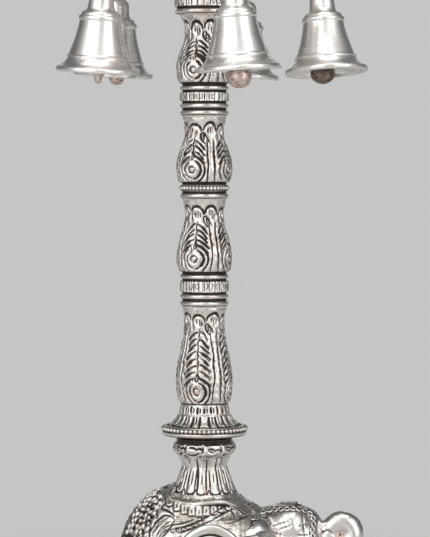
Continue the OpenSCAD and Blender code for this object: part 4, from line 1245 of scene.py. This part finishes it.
bm = bmesh.new()
for x, y in leg["feet"]:
    for side in (-1, 1):
        middle = Vector((x + trim["ankletAhead"], side * y, trim["ankletZ"]))
        for k in range(trim["ankletBeads"]):
            angle = math.tau * k / trim["ankletBeads"]
            heading = Vector((math.cos(angle), math.sin(angle), 0)) * trim["ankletOut"]
            blob(bm, middle + heading, (1, 1, 1), 0, "bead")
        for level in (-trim["ankletHalf"], trim["ankletHalf"]):
            place = Matrix.Translation((middle + Vector((0, 0, level))) * mm)
            addTo(bm, spun(ringLine(trim["ankletOut"], trim["ankletWire"], 8), True, 48, place))
elephantPiece("anklets", bm)


# Saddle ring: a hollow sweeps down from the pedestal's foot to a round ring on the cloth

saddle = {"turns": 144, "inner": 12.1, "edge": 14.5, "top": 87.7, "level": 85.9, "ring": 15.5,
          "ringZ": 84.95, "thick": 1.0, "bottom": 82, "dents": 0.15,
          "drape": ((-16, 3.3), (-12.2, 1.1), (-8.3, 0.2), (-4, 0), (0.7, 0.5), (5.3, 0.9), (8, 0.6),
                    (11, -0.6), (16, -3))}
inner, edge, thick, bottom = (saddle[key] for key in ("inner", "edge", "thick", "bottom"))
sweep = bowLine((inner, saddle["top"]), (12.8, saddle["level"] + 0.3), (edge, saddle["level"]))
bead = arcLine(saddle["ring"], saddle["ringZ"], thick, thick, 125, -60, 10)
line = [Vector(point) for point in (*sweep, *bead, (saddle["ring"], bottom), (inner, bottom))]
bm = spun(line, True, saddle["turns"])
for vert in bm.verts:
    out = (math.hypot(vert.co.x, vert.co.y) / mm - inner) / (edge - inner)
    vert.co.z += np.interp(vert.co.x / mm, *zip(*saddle["drape"])) * min(1, max(0, out)) ** 2 * mm
piece = elephantPiece("saddle_ring", bm, "elephant_silver")
spots = skin(piece)[0]
theta, r, z = polar(spots)
level = z - np.interp(spots[:, 0], *zip(*saddle["drape"]))
cuts = []
for k in range(pedestal["tongues"]):
    x = (k + pedestal["start"]) * math.tau / pedestal["tongues"] * edge
    for side in (-1, 1):
        cuts.append(bowCut((x, 12.3), (x + 0.8 * side, 13), (x + 2.2 * side, 14.1), 0.26))
lift, oxide = chased(lineGap(theta * edge, r, cuts, None, math.tau * edge), 0.25, 0.1)
sloping = fade(r, edge - 0.2, edge - 0.6)
# seam darkens the groove at the foot of the slope, and paints shade on the ring's underside and the wall
# below it
seam = fade(np.abs(r - edge - 0.1), 0.55, 0.2) + fade(level, saddle["ringZ"] - 0.3, saddle["ringZ"] - 0.8)
seam = 0.9 * np.clip(seam, 0, 1) * (r > 12.5)
carve(piece, lift * sloping + saddle["dents"] * uneven(spots, 4, 8), np.maximum(oxide * sloping, seam))


# Cup, finial, dish and plinth lie outside the photo and carry petals like those of the skirt and foot

print("stage: cup, finial, dish and plinth")
cup = {"turns": 256, "step": 0.32, "stem": 9.5, "drawn": 13.0,
       "petals": {"count": 18, "edge": (2.4, 7, 10.2), "spread": (0.44, 0.52), "vein": (3, 5, 7.6),
                  "widths": (0.24, 0.16)}}
piece = turned("dish_cup", cup)
low, high = heights("dish_cup")
spots, normals = skin(piece)
theta, r, z = polar(spots)
climb = np.hypot(r - cup["stem"], z - low)
cuts = petalCuts(math.tau * cup["drawn"], **cup["petals"])
lift, oxide = chased(turnedGap(theta, r, climb, cuts, cup["drawn"]), 0.3, 0.2)
field = fade(normals[:, 2], 0.3, 0.1) * fade(z, high - 1.4, high - 1.7)
field *= fade(r, cup["stem"] - 1.5, cup["stem"] - 1)
carve(piece, lift * field, oxide * field)

finial = {"turns": 160, "step": 0.5, "lobes": 12, "deep": 0.36,
          "bulb": (17.5, 19.5, 28.5, 31), "bud": (36, 37.5, 41, 44), "seams": (3.1, 13.4, 15.7, 32.7, 34.8)}
piece = turned("finial", finial, 1.0)
theta, r, z = polar(skin(piece)[0])
rise = z - heights("finial")[0]
crest = np.abs(np.cos(finial["lobes"] * theta / 2))
field = np.zeros(len(z))
for start, full, ebb, end in (finial["bulb"], finial["bud"]):
    field += fade(rise, start, full) * fade(rise, end, ebb)
seams = np.max([fade(np.abs(rise - seam), 0.5, 0.15) for seam in finial["seams"]], 0)
oxide = np.maximum(fade(crest, 0.3, 0.05) * field, 0.8 * seams)
carve(piece, finial["deep"] * (crest - 0.6) * field, oxide)


def recast(node, cell):
    bm = bmesh.new()
    bm.from_mesh(nodes[node].data)
    return chasedPiece(node, fused(bm, cell, 3))


dish = {"cell": 0.63, "drawn": 30, "field": 22, "nicks": 120, "rim": 40.2, "lip": 42, "tongue": 2.9,
        "nickDeep": 0.15, "wallDeep": 0.28,
        "petals": {"count": 20, "edge": (23, 34, 38), "spread": (0.45, 0.52), "vein": (25, 29, 33),
                   "widths": (0.3, 0.2)}}
piece = recast("oil_dish", dish["cell"])
high = heights("oil_dish")[1]
spots, normals = skin(piece)
theta, r, z = polar(spots)
cuts = petalCuts(math.tau * dish["drawn"], **dish["petals"])
gap = turnedGap(theta, r, r, cuts, dish["drawn"])
edgeRun = np.zeros(len(r))
for n in range(1, 6):  # a leaf on each wick lip, and the length along the lip's edge
    lug = Vector(joints[f"bell_{n}_swing"]["pos_m"])
    turn = theta - math.atan2(lug.y, lug.x)
    out, across = r * np.cos(turn), r * np.sin(turn)
    leaf = [bowCut((dish["lip"], 0), (48, 0), (54, 0), 0.3)]
    for side in (-1, 1):
        leaf.append(bowCut((dish["lip"], side * 2), (46, side * 4.5), (52, side * 2.4), 0.24))
    gap = np.minimum(gap, lineGap(out, across, leaf))
    edgeRun = np.where(np.cos(turn) > math.cos(math.tau / 10), out + np.abs(across), edgeRun)
lift, oxide = chased(gap, 0.3, 0.16)
wall = fade(np.abs(normals[:, 2]), 0.5, 0.3) * fade(r, 37, 39)
field = fade(r, dish["field"], dish["field"] + 0.6) * fade(z, high - 0.6, high - 1.1) * (1 - wall)
nick = fade(np.abs(np.sin(dish["nicks"] * theta / 2)), 0.35, 0.1)
nick *= fade(z, high - 1.2, high - 0.9) * (r < dish["rim"])
wave = math.pi * edgeRun / dish["tongue"]
arch = high - 1.5 - 0.8 * np.abs(np.cos(wave)) ** 3
slit = fade(np.abs(np.sin(wave)), 0.42, 0.16) * fade(z, high - 4.9, high - 4.5) * fade(z, arch, arch - 0.4)
rule = np.max([fade(np.abs(z - high + drop), 0.4, 0.15) for drop in (1.1, 5.1)], 0)
cut = np.maximum(slit, rule) * wall
lift = lift * field - dish["nickDeep"] * nick - dish["wallDeep"] * cut
carve(piece, lift, np.max([oxide * field, 0.7 * nick, 0.9 * cut], 0))

plinth = {"cell": 0.65, "half": 16, "ahead": 6, "drawn": 31, "foot": 3, "cove": 8.4, "nick": 2.6, "top": 11.4,
          "border": (21, 26.6),
          "petals": {"count": 44, "edge": (8.2, 5, 3.6), "spread": (0.45, 0.5), "vein": (7.6, 6.5, 5),
                     "widths": (0.3, 0.2)},
          "topPetals": {"count": 44, "edge": (26.6, 24, 22), "spread": (0.46, 0.5), "vein": (26, 25, 23.6),
                        "widths": (0.3, 0.24)}}
piece = recast("base_plinth", plinth["cell"])
spots, normals = skin(piece)
straight = np.clip(spots[:, 0] - plinth["ahead"], -plinth["half"], plinth["half"])
offX, offY, z = spots[:, 0] - plinth["ahead"] - straight, spots[:, 1], spots[:, 2]
r = np.hypot(offX, offY)
run = plinth["drawn"] * np.arctan2(offY, offX) + np.where(offY < 0, -1, 1) * (plinth["half"] - straight)
around = math.tau * plinth["drawn"] + 4 * plinth["half"]
lift, oxide = chased(lineGap(run, z, petalCuts(around, **plinth["petals"]), None, around), 0.32, 0.24)
foot, cove = plinth["foot"], plinth["cove"]
field = fade(z, foot, foot + 0.5) * fade(z, cove + 0.2, cove - 0.2) * (r > 27)
nick = fade(np.abs(np.sin(math.pi * run / plinth["nick"])), 0.4, 0.1)
nick *= fade(z, 8.8, 9.2) * fade(r, 28.3, 28.8)
seam = fade(np.abs(z - foot), 0.5, 0.2) * (r > 31)
inner, outer = plinth["border"]
stretch = np.where(np.abs(offX) > 0.01, r / plinth["drawn"], 1)
gap = lineGap(run, r, petalCuts(around, **plinth["topPetals"]), stretch, around)
petalLift, petalDark = chased(gap, 0.34, 0.24)
top = fade(z, plinth["top"], plinth["top"] + 0.4) * fade(normals[:, 2], 0.5, 0.8)
rings = np.max([fade(np.abs(r - level), 0.55, 0.2) for level in (inner, outer + 0.5)], 0)
border = fade(r, inner - 0.2, inner + 0.4) * fade(r, outer + 0.6, outer + 0.2)
hammered = 0.3 * uneven(spots, 7, 31) + 0.14 * uneven(spots, 3, 32)
stain = (0.36 + 0.3 * fade(uneven(spots, 4, 33), -0.1, 0.35)) * fade(r, inner + 0.5, inner - 0.5)
topDark = top * np.max([petalDark * border, 0.9 * rings, stain], 0)
carve(piece, lift * field - 0.3 * nick + top * (petalLift * border - 0.3 * rings + hammered),
      np.max([oxide * field, 0.8 * nick, 0.8 * seam, topDark], 0))


# Rings, wires, lugs and fastenings keep their exact shapes

print("stage: rings, wires and fastenings")
plain = {"hanger_ring": "ring_silver", "bell_wire": "copper_wire", "bell_lugs": "antique_silver",
         "foot_screws": "steel", "rod_nut": "steel", "tie_rod": "steel"}
for name, node in nodes.items():
    for start, material in plain.items():
        if name.startswith(start):
            node.data.materials.clear()
            node.data.materials.append(finish[material])
